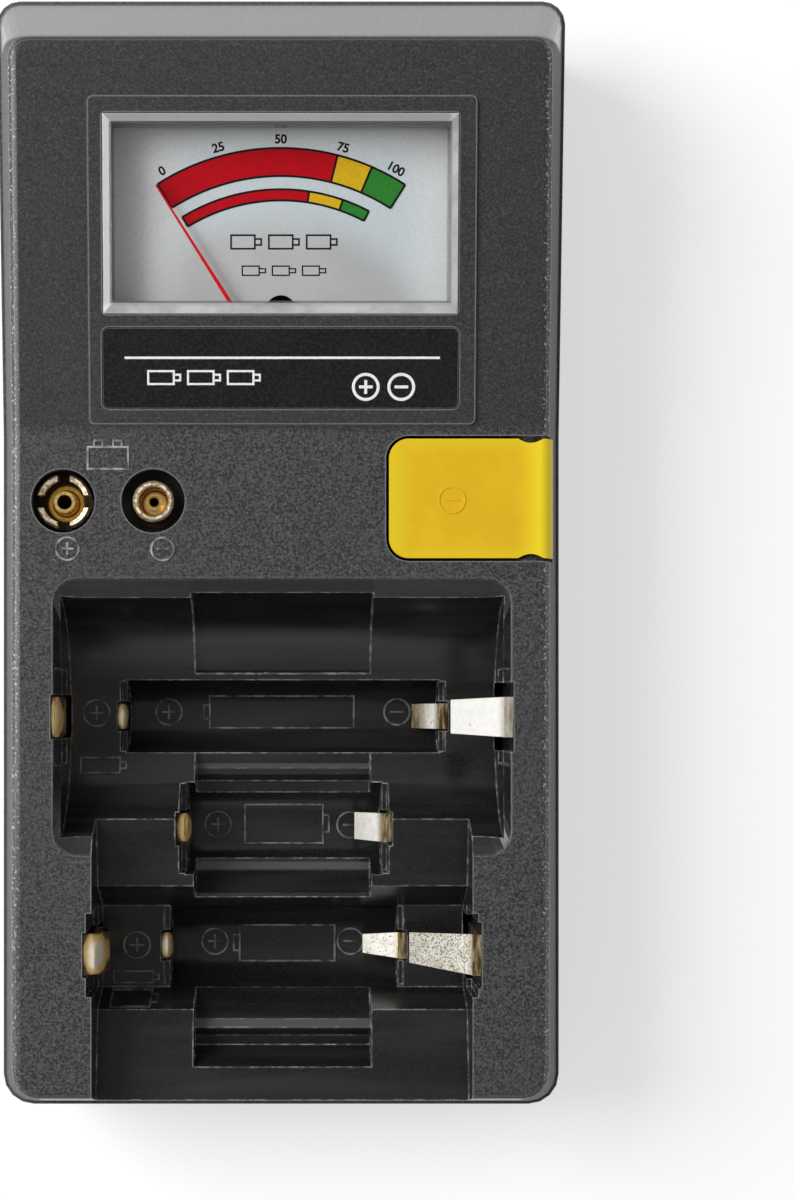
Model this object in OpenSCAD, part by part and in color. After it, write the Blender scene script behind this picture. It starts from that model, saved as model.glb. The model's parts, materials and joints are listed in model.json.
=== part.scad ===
// Battery tester with a moving-coil meter, lying on its back.
// X runs to the right, Y runs towards the meter end, Z points out of the front face.
// The origin is the middle of the footprint, on the table. All sizes are in millimetres.

/* [Case] */
// Width of the flat front face
face_w = 76.3; // [75:0.1:80]
// Height of the lower front face above the table
face_z = 28; // [28:0.1:31]
// Height of the seam between the two shells
seam_z = 18; // [17.2:0.1:18.4]
// How far each side wall leans out between face and seam
side_flare = 1.9; // [1.4:0.1:2.4]
// Overall length over the rim of the back shell
case_l = 160.7; // [160.4:0.1:163]
// Distance from the origin to the crease where the meter section starts
crease_y = 16.7; // [16.6:0.05:17]
// Length of the sloping meter section, along its own plane
meter_section_l = 54.5; // [54:0.1:57]
// Slope of the meter section in degrees
tilt = 4.74; // [4:0.02:6]
// Thickness of the face and the side walls
wall = 2; // [1.8:0.05:2.2]
// Thickness of the walls of the battery troughs
trough_wall = 1.4; // [1.2:0.05:1.6]
// Thickness of the end walls of the troughs, which hold the contacts
trough_end = 2.6; // [2.4:0.05:3]
// Rounding along the edges of the face
edge_r = 1.4; // [0.8:0.1:1.4]
// Corner radius of the face at the meter end
top_corner = 2.9; // [2.9:0.1:3.6]
// Corner radius of the face at the bottom end
bottom_corner = 4; // [3:0.1:5]

/* [Back shell] */
// Thickness of the floor of the back shell
floor_t = 2; // [1.6:0.05:2.2]
// How far the back shell narrows towards its floor
back_taper = 2.4; // [1.6:0.1:2.8]
// How far the rim of the back shell stands proud of the front shell
rim_proud = 0.4; // [0.2:0.05:0.5]
// Height of the rim band
rim_h = 1.5; // [1:0.1:2]
// Sideways place of the case screws
screw_x = 32.6; // [32.4:0.1:32.8]
// Place of the upper pair of case screws
screw_top_y = 66; // [64:0.1:67]
// Place of the lower pair of case screws
screw_bottom_y = -71.5; // [-72:0.1:-70]
// Radius of a case screw's head
screw_head_r = 2.5; // [2.2:0.05:2.7]
// Radius of a case screw's thread
screw_r = 1.35; // [1.2:0.05:1.5]
// Length of a case screw under its head
screw_l = 13; // [10:0.5:14]

/* [D cell] */
// Diameter of the D trough
d_bore = 34.6; // [34.4:0.1:34.8]
// Length of the D trough
d_l = 62.8; // [62.4:0.1:63.4]
// Sideways middle of the D trough
d_x = 0.2; // [0:0.1:0.4]
// Place of the D trough along the case
d_y = -23.9; // [-24.1:0.05:-23.7]
// Height of the D cell's axis above the face
d_axis_up = 2; // [1.8:0.05:2.3]
// Length of the chamfered mouth of the D trough
d_mouth_l = 64.8; // [64.4:0.1:65.2]
// Width of the chamfered mouth of the D trough
d_mouth_w = 39.4; // [39:0.1:39.8]
// Depth of that chamfer
d_mouth_depth = 2; // [1.6:0.1:2.4]
// Corner radius of the mouth
d_mouth_r = 3.4; // [3:0.1:4]

/* [AAA cell] */
// Diameter of the AAA trough
aaa_bore = 10.7; // [10.6:0.05:10.9]
// Length of the AAA trough
aaa_l = 46.4; // [46.2:0.1:46.8]
// Depth of the AAA cell's axis below the face
aaa_axis_depth = 17; // [16.8:0.05:17.2]

/* [Six volt cell] */
// Diameter of the six volt trough
six_bore = 13.2; // [13.1:0.05:13.4]
// Length of the six volt trough
six_l = 28.8; // [28.6:0.1:29.2]
// Sideways middle of the six volt trough
six_x = 0.4; // [0.2:0.1:0.6]
// Place of the six volt trough along the case
six_y = -40.2; // [-40.4:0.05:-40]
// Depth of the six volt cell's axis below the face
six_axis_depth = 14; // [13.8:0.05:14.2]

/* [C and AA cells] */
// Length of the C and AA compartment
c_l = 53.8; // [53.5:0.1:54.2]
// Sideways middle of the C and AA compartment
c_x = 0.2; // [0:0.1:0.4]
// Place of the C and AA cells along the case
c_y = -57.5; // [-57.7:0.05:-57.3]
// Width between the two edges that a C cell rests on
c_rest_w = 17.9; // [17.6:0.05:18.2]
// Depth of those edges below the face
c_rest_depth = 9.2; // [9:0.05:9.4]
// Depth of the ridge between the D and C troughs
ridge_depth = 7; // [6.9:0.05:7.1]
// Depth of the ramp where it leaves the case at the bottom end
ramp_depth = 6.5; // [6.2:0.1:7]
// Depth of the floor that an AA cell rests on
aa_floor_depth = 17; // [16.8:0.05:17.2]

/* [N cell] */
// Diameter of the N trough
n_bore = 12.2; // [12.1:0.05:12.3]
// Length of the N trough
n_l = 34; // [33.8:0.1:34.2]
// Sideways middle of the N trough
n_x = 0.35; // [0.2:0.05:0.5]
// Place of the N trough along the case
n_y = -58.15; // [-58.25:0.05:-58.05]

/* [Finger channel] */
// Width of the channel that lets fingers reach the small cells
channel_w = 25.8; // [25.4:0.1:26.2]
// Depth of the ledge beside the six volt trough
ledge_depth = 18.4; // [18.2:0.1:18.6]
// Depth of the finger recess in the upper wall of the D trough
finger_recess = 0.6; // [0.4:0.1:0.8]

/* [Contacts] */
// Thickness of the contact strip
strip_t = 0.4; // [0.3:0.05:0.5]
// Running clearance round a contact in its pocket
pocket_clear = 0.3; // [0.2:0.05:0.4]
// Depth of a contact pocket behind the trough's end
pocket_d = 1.3; // [1.2:0.05:1.5]
// Depth of the wider slot above each pocket
slot_d = 0.8; // [0.6:0.05:0.9]
// Width of the slots at the ends of the D trough
d_slot_w = 13.6; // [12:0.1:14]
// Width of the slots at the ends of the C and AA compartment
c_slot_w = 11.8; // [10:0.1:12]
// Width of the D cell contacts
d_contact_w = 5.7; // [5:0.1:6]
// Width of the C and AA contacts
c_contact_w = 5.8; // [5:0.1:6]
// Width of the AAA contacts
aaa_contact_w = 3.8; // [3.4:0.1:4]
// Width of the six volt contacts
six_contact_w = 4.2; // [3.6:0.1:4.6]
// Width of the N cell contacts
n_contact_w = 3.9; // [3.4:0.1:4.2]

/* [Nine volt snaps] */
// Diameter of the holes round the nine volt snaps
snap_hole_d = 9; // [8.8:0.1:9.2]
// Distance between the two snaps
snap_pitch = 12.7; // [12.6:0.05:12.8]
// Sideways place of the positive snap
snap_x = -30.7; // [-31:0.1:-30.5]
// Place of the snaps along the case
snap_y = 6.6; // [6:0.1:7]
// Outer diameter of the socket's petals
socket_d = 7.8; // [7.4:0.1:8]
// Diameter of the stud
stud_d = 5.8; // [5.6:0.05:6]
// Thickness of the board that carries the snaps
snap_board_t = 1.5; // [1.2:0.1:1.8]
// Depth of that board's upper side below the face
snap_board_depth = 5.4; // [5:0.1:6]

/* [Button cell flap] */
// Length of the flap
flap_l = 23.3; // [22.8:0.1:23.6]
// Width of the flap
flap_w = 16.85; // [16.4:0.05:17]
// Sideways place of the flap's free edge
flap_x = 15.3; // [15:0.1:15.6]
// Middle of the flap along the case
flap_y = 6.95; // [6.8:0.05:7.1]
// Gap round the flap
flap_gap = 0.42; // [0.3:0.02:0.5]
// Thickness of the flap
flap_t = 1.8; // [1.5:0.1:2]
// Corner radius at the free edge of the flap
flap_r = 2.8; // [2:0.1:3.4]
// Distance from the flap's tail to its pivot
flap_tail = 3.3; // [3.1:0.05:3.4]
// Depth of the pivot below the face
flap_pivot_depth = 2.2; // [2.1:0.05:2.4]
// Radius of the pivot pin
flap_pin_r = 0.8; // [0.7:0.05:0.9]
// Radial clearance of the pivot pin in the flap
flap_pin_clear = 0.05; // [0.03:0.01:0.08]
// Radius of the two cone-shaped bosses that carry the pin
flap_boss_r = 2.2; // [2:0.05:2.3]
// Height of the side wall left standing below the flap's tail
flap_sill_depth = 5.2; // [5.1:0.05:5.4]
// Depth of the button cell well
well_depth = 7.6; // [7.4:0.1:8]

/* [Meter window and label] */
// Height of the raised panel round the meter
panel_h = 0.4; // [0.3:0.05:0.6]
// Left edge of the raised panel
panel_left = -26.9; // [-27.4:0.1:-26.6]
// Right edge of the raised panel
panel_right = 27.4; // [27:0.1:27.8]
// Distance from the crease to the panel's lower edge
panel_low = 0.7; // [0.5:0.1:0.9]
// Distance from the crease to the panel's upper edge
panel_high = 46.1; // [45.8:0.1:46.6]
// Width of the lens
lens_w = 49.7; // [49.4:0.1:50]
// Distance from the crease to the lens's lower edge
lens_low = 16.1; // [15.9:0.1:16.2]
// Distance from the crease to the lens's upper edge
lens_high = 43.7; // [43.5:0.1:43.9]
// Height of the lens above the sloping face
lens_proud = 1.2; // [1:0.1:1.4]
// Width of the bevel round the lens
lens_bevel = 1.4; // [1.2:0.1:1.6]
// Thickness of the lens
lens_t = 1.4; // [1.2:0.1:1.6]
// Gap between the lens and the window it sits in
lens_gap = 0.12; // [0.08:0.02:0.2]
// Width of the label plate
label_w = 50; // [49.6:0.1:50.4]
// Distance from the crease to the label's lower edge
label_low = 2.9; // [2.6:0.1:3.2]
// Distance from the crease to the label's upper edge
label_high = 14.1; // [13.9:0.1:14.4]
// Corner radius of the label plate
label_r = 0.9; // [0.6:0.1:1.4]
// Thickness of the label plate
label_t = 0.4; // [0.3:0.05:0.5]

/* [Meter movement] */
// Distance from the crease to the needle's axis
pivot_low = 6.9; // [6.7:0.1:7.1]
// Depth of the dial's face below the sloping face
dial_depth = 5.8; // [5.7:0.05:5.9]
// Thickness of the dial plate
dial_t = 0.5; // [0.4:0.05:0.55]
// Length of the needle from its axis to its tip
needle_l = 32.8; // [32:0.1:33.4]
// Width of the needle
needle_w = 0.45; // [0.4:0.05:0.6]
// Height of the needle above the dial
needle_up = 1.6; // [1.4:0.05:1.65]
// Angle of the needle at rest, left of the middle
needle_rest = 32.6; // [30:0.1:34]
// Radius of the iron core inside the coil
core_r = 4.4; // [4.2:0.05:4.5]
// Outer radius of the magnet ring
magnet_r = 9.3; // [9:0.1:9.4]
// Inner radius of the magnet ring
magnet_bore_r = 5.9; // [5.8:0.05:6.1]
// Height of the magnet ring
magnet_h = 6.4; // [6:0.1:6.5]
// Depth of the meter housing below the sloping face
housing_depth = 17.5; // [17.3:0.1:17.8]
// Half the width of the meter housing
housing_half = 27.2; // [27.1:0.05:27.3]
// Distance from the crease to the housing's upper end
housing_high = 46.8; // [46.6:0.1:47.2]

/* [Circuit board] */
// Width of the circuit board
board_w = 46; // [40:1:50]
// Length of the circuit board
board_l = 34; // [30:1:36]
// Thickness of the circuit board
board_t = 1.6; // [1.2:0.1:1.7]
// Middle of the circuit board along the case
board_y = 42; // [40:1:44]
// Gap between the floor and the circuit board
board_up = 2.5; // [2:0.1:2.6]

/* [Hidden] */
$fn = 48;

sliver = 0.01;
through = 60;
half_face = face_w / 2;
lean = side_flare / (face_z - seam_z);
seam_half = half_face + side_flare;
seam_end = case_l / 2 - rim_proud;
face_bottom = seam_end - side_flare;
under_face = face_z - wall;

d_axis_z = face_z + d_axis_up;
d_floor_z = d_axis_z - d_bore / 2;
aaa_z = face_z - aaa_axis_depth;
six_z = face_z - six_axis_depth;
ledge_z = face_z - ledge_depth;
ridge_z = face_z - ridge_depth;
ridge_y = d_y - sqrt(pow(d_bore / 2, 2) - pow(d_axis_z - ridge_z, 2));
rest_z = face_z - c_rest_depth;
aa_z = face_z - aa_floor_depth;
ramp_z = face_z - ramp_depth;
channel_x = c_x;

cell_gap = 0.3;
clip_gap = 0.1;
seat = 0.05;
knuckle_r = 0.3;

charcoal = "#3b3c3e";
black = "#1c1c1e";
gold = "#c9a24a";
nickel = "#d9d3bd";
brass = "#b88a3c";
steel = "#9a9ca0";
yellow = "#e2b824";

// ---------- outline of the two shells ----------

// The halves of the outline below and above the crease reach into each other by this much.
join = 4;
sheet = 0.02;
corner_steps = 4;
edge_steps = 3;

// Half the width at the seam, level with a place on the sloping face.
function seam_half_at(y) = seam_half + lean * (y - crease_y) * tan(tilt);

// Places children in the frame of the sloping meter section: X right, Y up the slope.
module on_slope() {
    translate([0, crease_y, face_z]) rotate([tilt, 0, 0]) children();
}

// One half of the outline as a thin sheet: straight at the near end, rounded at the far end.
// way is 1 towards the meter end and -1 towards the bottom end.
module outline_sheet(way, near_half, far_half, near, far, corner) {
    linear_extrude(sheet) polygon(concat(
        [[near_half, way * near]],
        [for (i = [0:corner_steps])
            [far_half - corner * (1 - cos(90 * i / corner_steps)),
                way * (far - corner * (1 - sin(90 * i / corner_steps)))]],
        [for (i = [corner_steps:-1:0])
            [corner * (1 - cos(90 * i / corner_steps)) - far_half,
                way * (far - corner * (1 - sin(90 * i / corner_steps)))]],
        [[-near_half, way * near]]
    ));
}

// One half of the outline at the seam or on the back, pulled in by inset.
module seam_sheet(way, inset, z) {
    corner = max((way > 0 ? top_corner : bottom_corner) - inset, 0.6);
    near = way * crease_y - join;
    far = seam_end - inset;
    translate([0, 0, z])
        outline_sheet(way, (way > 0 ? seam_half_at(near) : seam_half) - inset,
            (way > 0 ? seam_half_at(far - corner) : seam_half) - inset, near, far, corner);
}

// One half of the face with its rounded edge, drawn with Y from the crease and Z from the face.
module face_sheets(way, inset) {
    edge = max(edge_r - inset, 0.3);
    corner = max((way > 0 ? top_corner : bottom_corner) - inset, edge + 0.5);
    length = way > 0 ? meter_section_l : face_bottom + crease_y;
    for (i = [0:edge_steps]) {
        round_in = edge * (1 - cos(90 * i / edge_steps));
        half = half_face - inset - round_in;
        translate([0, 0, edge * (sin(90 * i / edge_steps) - 1) - inset - sheet])
            outline_sheet(way, half, half, -join, length - inset - round_in, corner - round_in);
    }
}

module front_block(inset, base_z) {
    hull() {
        seam_sheet(-1, inset, base_z);
        translate([0, crease_y, face_z]) face_sheets(-1, inset);
    }
    hull() {
        seam_sheet(1, inset, base_z);
        on_slope() face_sheets(1, inset);
    }
}

module back_block(inset, base_z, top_z) {
    for (way = [-1, 1])
        hull() {
            seam_sheet(way, inset, top_z - sheet);
            seam_sheet(way, inset + back_taper, base_z + 1);
            seam_sheet(way, inset + back_taper + 1, base_z);
        }
}

// ---------- battery troughs ----------

// Runs a profile drawn in Y and Z along X. A grown profile also gets its end walls.
module along_x(middle, length, grow) {
    extra = grow > 0 ? trough_end : 0;
    translate([middle - length / 2 - extra, 0, 0])
        rotate([90, 0, 90]) linear_extrude(length + 2 * extra) children();
}

// A round trough whose sides go straight up from the axis to the height top.
module u_profile(y, z, bore, grow, top) {
    translate([y, z]) circle(bore / 2 + grow);
    translate([y - bore / 2 - grow, z]) square([bore + 2 * grow, top - z]);
}

module d_trough(grow) {
    along_x(d_x, d_l, grow) translate([d_y, d_axis_z]) circle(d_bore / 2 + grow, $fn = 96);
}

module aaa_trough(grow) {
    along_x(d_x, aaa_l, grow) u_profile(d_y, aaa_z, aaa_bore, grow, d_floor_z + 2);
}

module six_trough(grow) {
    along_x(six_x, six_l, grow)
        u_profile(six_y, six_z, six_bore, grow, grow > 0 ? face_z - c_rest_depth : through);
}

module n_trough(grow) {
    along_x(n_x, n_l, grow) u_profile(n_y, aa_z, n_bore, grow, aa_z + 2);
}

// The C cell lies on two edges, the AA cell on the floor between them.
module c_profile(drop) {
    end_y = -seam_end - 3;
    polygon([
        [ridge_y + drop, ridge_z - drop],
        [c_y + c_rest_w / 2 + drop, rest_z - drop],
        [n_y + n_bore / 2 + drop, aa_z - drop],
        [n_y - n_bore / 2 - drop, aa_z - drop],
        [c_y - c_rest_w / 2 - drop, rest_z - drop],
        [-face_bottom, ramp_z - drop],
        [end_y, ramp_z - drop],
        [end_y, through],
        [ridge_y + drop, through]
    ]);
}

module c_trough(grow) {
    along_x(c_x, c_l, grow) c_profile(grow);
}

// Floor of the finger channel from the D trough over the six volt trough to the N trough,
// as steps of [offset from the six volt axis, depth below the face].
channel_steps = [
    [12.2, 15.1], [8.6, 15.5], [7.7, 16.2], [6.7, ledge_depth - 0.1], [4.9, ledge_depth],
    [-5, ledge_depth], [-6.7, 17.4], [-9.8, 14], [-10.5, 13.6], [-10.9, 14.8], [-11.9, 15.4]
];

// Floor of the finger scoop below the N trough, as [offset from the N axis, depth].
scoop_steps = [
    [-6.1, aa_floor_depth], [-10.1, 12], [-11.3, 11.5], [-12.6, 13], [-14.1, 13.3], [-16.4, 7.2]
];

// Both floors as outlines that stay open upwards.
module stepped_profile(steps, y, grow) {
    last = len(steps) - 1;
    polygon(concat(
        [[y + steps[0][0] + grow, through]],
        [for (i = [0:last])
            [y + steps[i][0] + (i == 0 ? grow : i == last ? -grow : 0),
                face_z - steps[i][1] - grow]],
        [[y + steps[last][0] - grow, through]]
    ));
}

module finger_channel(grow) {
    translate([channel_x - channel_w / 2 - grow, 0, 0])
        rotate([90, 0, 90]) linear_extrude(channel_w + 2 * grow) {
            stepped_profile(channel_steps, six_y, grow);
            stepped_profile(scoop_steps, n_y, grow);
            intersection() {
                translate([d_y, d_axis_z]) circle(d_bore / 2 + finger_recess + grow);
                translate([d_y + aaa_bore / 2 + 1 - grow, 0]) square(through);
            }
        }
}

module d_mouth() {
    hull()
        for (side = [-1, 1], end = [-1, 1], up = [0, 1])
            translate([
                d_x + side * ((up ? d_mouth_l : d_l - 0.6) / 2 - d_mouth_r),
                d_y + end * ((up ? d_mouth_w : d_bore - 2) / 2 - d_mouth_r),
                face_z - d_mouth_depth * (1 - up)
            ]) cylinder(r = d_mouth_r, h = up ? 3 : sheet, $fn = 16);
}

module troughs(grow) {
    d_trough(grow);
    aaa_trough(grow);
    six_trough(grow);
    n_trough(grow);
    c_trough(grow);
    finger_channel(grow);
}

// ---------- contact pockets ----------

// side is -1 for the positive end on the left and 1 for the negative end on the right.
function d_end(side) = d_x + side * d_l / 2;
function aaa_end(side) = d_x + side * aaa_l / 2;
function six_end(side) = six_x + side * six_l / 2;
function c_end(side) = c_x + side * c_l / 2;
function n_end(side) = n_x + side * n_l / 2;

// Heights between which each contact stands: [foot, top, foot of its pocket].
d_contact_z = [9, face_z - 0.4];
aaa_contact_z = [3.4, d_floor_z - cell_gap];
six_contact_z = [5.4, face_z - 11];
c_contact_z = [5.5, face_z - 0.4];
n_contact_z = [2.9, aa_z - cell_gap];

// How far the C and AA contacts stand above the N cell's axis, along the case.
c_contact_up = 0.6;
// How much narrower than the bore a small cell's slot is.
slot_step = 0.4;

module pocket(end_x, side, y, width, top) {
    translate([side > 0 ? end_x - clip_gap : end_x - pocket_d, y - width / 2 - pocket_clear, 0])
        cube([pocket_d + clip_gap, width + 2 * pocket_clear, top]);
}

// Wider slot above a pocket, through which the contact is slid in.
module slot(end_x, side, y, width, foot, top) {
    translate([side > 0 ? end_x - clip_gap : end_x - slot_d, y - width / 2, foot])
        cube([slot_d + clip_gap, width, top - foot]);
}

module slots() {
    for (side = [-1, 1]) {
        slot(d_end(side), side, d_y, d_slot_w, under_face - 8, through);
        slot(aaa_end(side), side, d_y, aaa_bore - slot_step, aaa_z - 1, d_floor_z + 1);
        slot(six_end(side), side, six_y, six_bore - slot_step, six_z - 1, through);
        slot(c_end(side), side, n_y + c_contact_up, c_slot_w, rest_z - 2, through);
        slot(n_end(side), side, n_y, n_bore - slot_step, aa_z - 1.5, aa_z + 1);
    }
}

module pockets() {
    for (side = [-1, 1]) {
        pocket(d_end(side), side, d_y, d_contact_w + (side > 0 ? 3.6 : 0), through);
        pocket(aaa_end(side), side, d_y, aaa_contact_w, d_floor_z + 1);
        pocket(six_end(side), side, six_y, six_contact_w, through);
        pocket(c_end(side), side, n_y + c_contact_up, c_contact_w + (side > 0 ? 3 : 0), through);
        pocket(n_end(side), side, n_y, n_contact_w, aa_z + 1);
    }
}

// Place of the fixed strip's middle in a pocket.
function strip_x(end_x, side) = end_x + side * (pocket_d - seat - strip_t / 2);

// ---------- front shell ----------

boss_r = 3;
boss_foot_z = 6.2;
pilot_clear = 0.08;

module screw_places() {
    for (side = [-1, 1], y = [screw_top_y, screw_bottom_y])
        translate([side * screw_x, y, 0]) children();
}

flap_end_x = flap_x + flap_l;
pivot_x = flap_end_x - flap_tail;
pivot_z = face_z - flap_pivot_depth;
flap_half = flap_w / 2;
well_half = flap_half + flap_gap;
well_z = face_z - well_depth;
sill_x = flap_end_x - 1.3;

// Walls and floor that the well needs under the face.
module well_walls() {
    translate([flap_x - flap_gap - trough_wall, flap_y - well_half - trough_wall, well_z - trough_wall])
        cube([
            sill_x - flap_x + flap_gap + trough_wall,
            2 * (well_half + trough_wall),
            through
        ]);
}

// The well's opening follows the flap, with the same rounded corners and an even gap.
module well_opening() {
    left = flap_x - flap_gap;
    corner = flap_r + flap_gap;
    translate([0, 0, well_z]) linear_extrude(through) {
        translate([left + corner, flap_y - well_half])
            square([sill_x - left - corner, 2 * well_half]);
        translate([left, flap_y - well_half + corner])
            square([sill_x - left, 2 * (well_half - corner)]);
        for (side = [-1, 1])
            translate([left + corner, flap_y + side * (well_half - corner)]) circle(corner);
    }
}

module flap_notch() {
    translate([sill_x - 1, flap_y - well_half, face_z - flap_sill_depth])
        cube([through, 2 * well_half, through]);
}

// Cone-shaped boss on each side wall of the well, which carries the end of the flap's pin.
module flap_bosses() {
    for (side = [-1, 1])
        translate([pivot_x, flap_y + side * (well_half + sliver), pivot_z])
            rotate([side * 90, 0, 0])
                cylinder(r1 = flap_boss_r, r2 = flap_boss_r - 0.9, h = 1.1);
}

pin_l = flap_w + 2 * flap_gap + 2.4;

module pin_bore(radius, length) {
    translate([pivot_x, flap_y + length / 2, pivot_z])
        rotate([90, 0, 0]) cylinder(r = radius, h = length);
}

snap_mid_x = snap_x + snap_pitch / 2;
snap_board_z = face_z - snap_board_depth;
snap_places = [snap_x, snap_x + snap_pitch];

module snap_posts() {
    for (side = [-1, 1])
        translate([snap_mid_x, snap_y + side * 3.6, snap_board_z + sliver])
            cylinder(r = 1.4, h = through);
}

module slope_plate(left, right, low, high, z, h, corner) {
    on_slope() translate([0, 0, z]) linear_extrude(h) {
        translate([left + corner, low]) square([right - left - 2 * corner, high - low]);
        translate([left, low + corner]) square([right - left, high - low - 2 * corner]);
        for (x = [left + corner, right - corner], y = [low + corner, high - corner])
            translate([x, y]) circle(corner);
    }
}

module front_case() color(charcoal) {
    difference() {
        union() {
            difference() {
                front_block(0, seam_z);
                difference() {
                    front_block(wall, seam_z - 1);
                    troughs(trough_wall);
                    well_walls();
                    snap_posts();
                    screw_places() cylinder(r = boss_r, h = through);
                }
            }
            intersection() {
                troughs(trough_wall);
                translate([-half_face, -seam_end, 0]) cube([face_w, 2 * seam_end, seam_z]);
            }
            screw_places() translate([0, 0, boss_foot_z])
                cylinder(r = boss_r, h = seam_z - boss_foot_z);
            slope_plate(panel_left, panel_right, panel_low, panel_high,
                -wall / 2, wall / 2 + panel_h, 0.8);
        }
        troughs(0);
        d_mouth();
        pockets();
        slots();
        difference() {
            union() {
                well_opening();
                flap_notch();
            }
            flap_bosses();
        }
        pin_bore(flap_pin_r + 0.02, pin_l + 0.2);
        for (x = snap_places)
            translate([x, snap_y, under_face - 1])
                cylinder(d = snap_hole_d, h = through);
        slope_plate(-lens_w / 2 - lens_gap, lens_w / 2 + lens_gap, lens_low - lens_gap,
            lens_high + lens_gap, -wall - 1, through, 0.5);
        slope_plate(-label_w / 2 - lens_gap, label_w / 2 + lens_gap, label_low - lens_gap,
            label_high + lens_gap, panel_h - label_t - 0.1, through, label_r + lens_gap);
        screw_places() translate([0, 0, boss_foot_z - 1])
            cylinder(r = screw_r + pilot_clear, h = screw_l);
    }
}

// ---------- back shell and screws ----------

head_seat_z = 3.4;
head_h = 1.9;

module back_case() color(charcoal) {
    difference() {
        union() {
            difference() {
                union() {
                    back_block(0, 0, seam_z);
                    for (way = [-1, 1])
                        hull() {
                            seam_sheet(way, -rim_proud, seam_z - sheet);
                            seam_sheet(way, -rim_proud, seam_z - rim_h);
                        }
                }
                back_block(wall, floor_t, seam_z + 1);
            }
            screw_places() translate([0, 0, floor_t / 2])
                cylinder(r = screw_head_r + 1.3, h = boss_foot_z - clip_gap - floor_t / 2);
            for (side = [-1, 1], end = [-1, 1])
                translate([side * (board_w / 2 - 3), board_y + end * (board_l / 2 - 3), 1])
                    cylinder(r = 2.2, h = floor_t + board_up - 1);
        }
        screw_places() {
            translate([0, 0, -1]) cylinder(r = screw_r + 0.25, h = through);
            translate([0, 0, -1]) cylinder(r = screw_head_r + 0.3, h = head_seat_z + 1);
        }
    }
}

// Pan-head screws with a cross recess, driven in from the back.
module case_screws() color(steel)
    screw_places() translate([0, 0, head_seat_z - seat]) {
        difference() {
            union() {
                translate([0, 0, -head_h]) cylinder(r1 = screw_head_r - 0.5, r2 = screw_head_r, h = 0.7);
                translate([0, 0, 0.7 - head_h]) cylinder(r = screw_head_r, h = head_h - 0.7);
            }
            for (turn = [0, 90])
                rotate(turn) translate([-1.3, -0.3, -head_h - 0.1]) cube([2.6, 0.6, 1.1]);
        }
        cylinder(r = screw_r, h = screw_l - 2);
        translate([0, 0, screw_l - 2]) cylinder(r1 = screw_r, r2 = 0.4, h = 1.2);
    }

// ---------- meter ----------

flange_t = 1;
flange_w = 0.95;
lens_under = -wall - seat - flange_t;

module lens_solid() {
    hull() {
        translate([0, (lens_low + lens_high) / 2, lens_proud - 0.01])
            cube([lens_w - 2 * lens_bevel, lens_high - lens_low - 2 * lens_bevel, 0.02], center = true);
        translate([0, (lens_low + lens_high) / 2, lens_proud - 0.7])
            cube([lens_w, lens_high - lens_low, 0.02], center = true);
    }
    translate([-lens_w / 2, lens_low, lens_under]) cube([lens_w, lens_high - lens_low,
        lens_proud - 0.7 - lens_under]);
}

// Clear window: a shallow tray, open below, with a flange under the face.
module meter_lens() color([0.9, 0.95, 0.97, 0.35]) on_slope()
    difference() {
        union() {
            lens_solid();
            translate([-lens_w / 2 - flange_w, lens_low - flange_w, lens_under])
                cube([lens_w + 2 * flange_w, lens_high - lens_low + 2 * flange_w, flange_t]);
        }
        translate([-lens_w / 2 + lens_t, lens_low + lens_t, lens_under - 1])
            cube([lens_w - 2 * lens_t, lens_high - lens_low - 2 * lens_t,
                lens_proud - lens_t - lens_under + 1]);
    }

module label_plate() color(black)
    slope_plate(-label_w / 2, label_w / 2, label_low, label_high,
        panel_h - label_t - 0.1 + sliver, label_t, label_r);

dial_half = 25.7;
dial_low = 14.9;
dial_high = 45;
notch_r = 2.2;

// Printed dial plate with a round notch in its lower edge.
module dial_plate() color("#d4d7d8") on_slope()
    difference() {
        translate([-dial_half, dial_low, -dial_depth - dial_t])
            cube([2 * dial_half, dial_high - dial_low, dial_t]);
        translate([0, dial_low + notch_r, -dial_depth - 1]) cylinder(r = notch_r, h = 2);
        translate([-notch_r, dial_low - 1, -dial_depth - 1]) cube([2 * notch_r, notch_r + 1, 2]);
    }

housing_t = 1.2;
housing_top = -wall - seat;
housing_low = 1;
bay_half = 11.3;
bay_low = -4.2;
inner_floor = -housing_depth + 1.5;

module housing_outline(shrink) {
    translate([-housing_half + shrink, housing_low + shrink])
        square([2 * (housing_half - shrink), housing_high - housing_low - 2 * shrink]);
    translate([-bay_half + shrink, bay_low + shrink])
        square([2 * (bay_half - shrink), housing_low - bay_low + 3]);
}

magnet_top = -6.4;

// Tray that hangs under the face and holds the whole meter movement.
module meter_housing() color(black) on_slope()
    difference() {
        union() {
            difference() {
                translate([0, 0, -housing_depth])
                    linear_extrude(housing_depth + housing_top) housing_outline(0);
                translate([0, 0, inner_floor])
                    linear_extrude(through) housing_outline(housing_t);
            }
            for (side = [-1, 1], y = [dial_low + 2.4, dial_high - 2])
                translate([side * (dial_half - 2), y, inner_floor - sliver])
                    cylinder(r = 1.5, h = -dial_depth - dial_t - inner_floor);
            translate([0, pivot_low, inner_floor - sliver])
                difference() {
                    cylinder(r = magnet_r, h = magnet_top - magnet_h - inner_floor);
                    translate([0, 0, -1]) cylinder(r = magnet_r - 1.6, h = through);
                }
        }
        translate([0, pivot_low, -housing_depth - 1]) cylinder(r = jewel_r + seat, h = through);
    }

jewel_r = 1.1;
bridge_top = -2.3;
bridge_t = 0.9;
needle_z = -dial_depth + needle_up;

module at_pivot(z) {
    on_slope() translate([0, pivot_low, z]) children();
}

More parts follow.
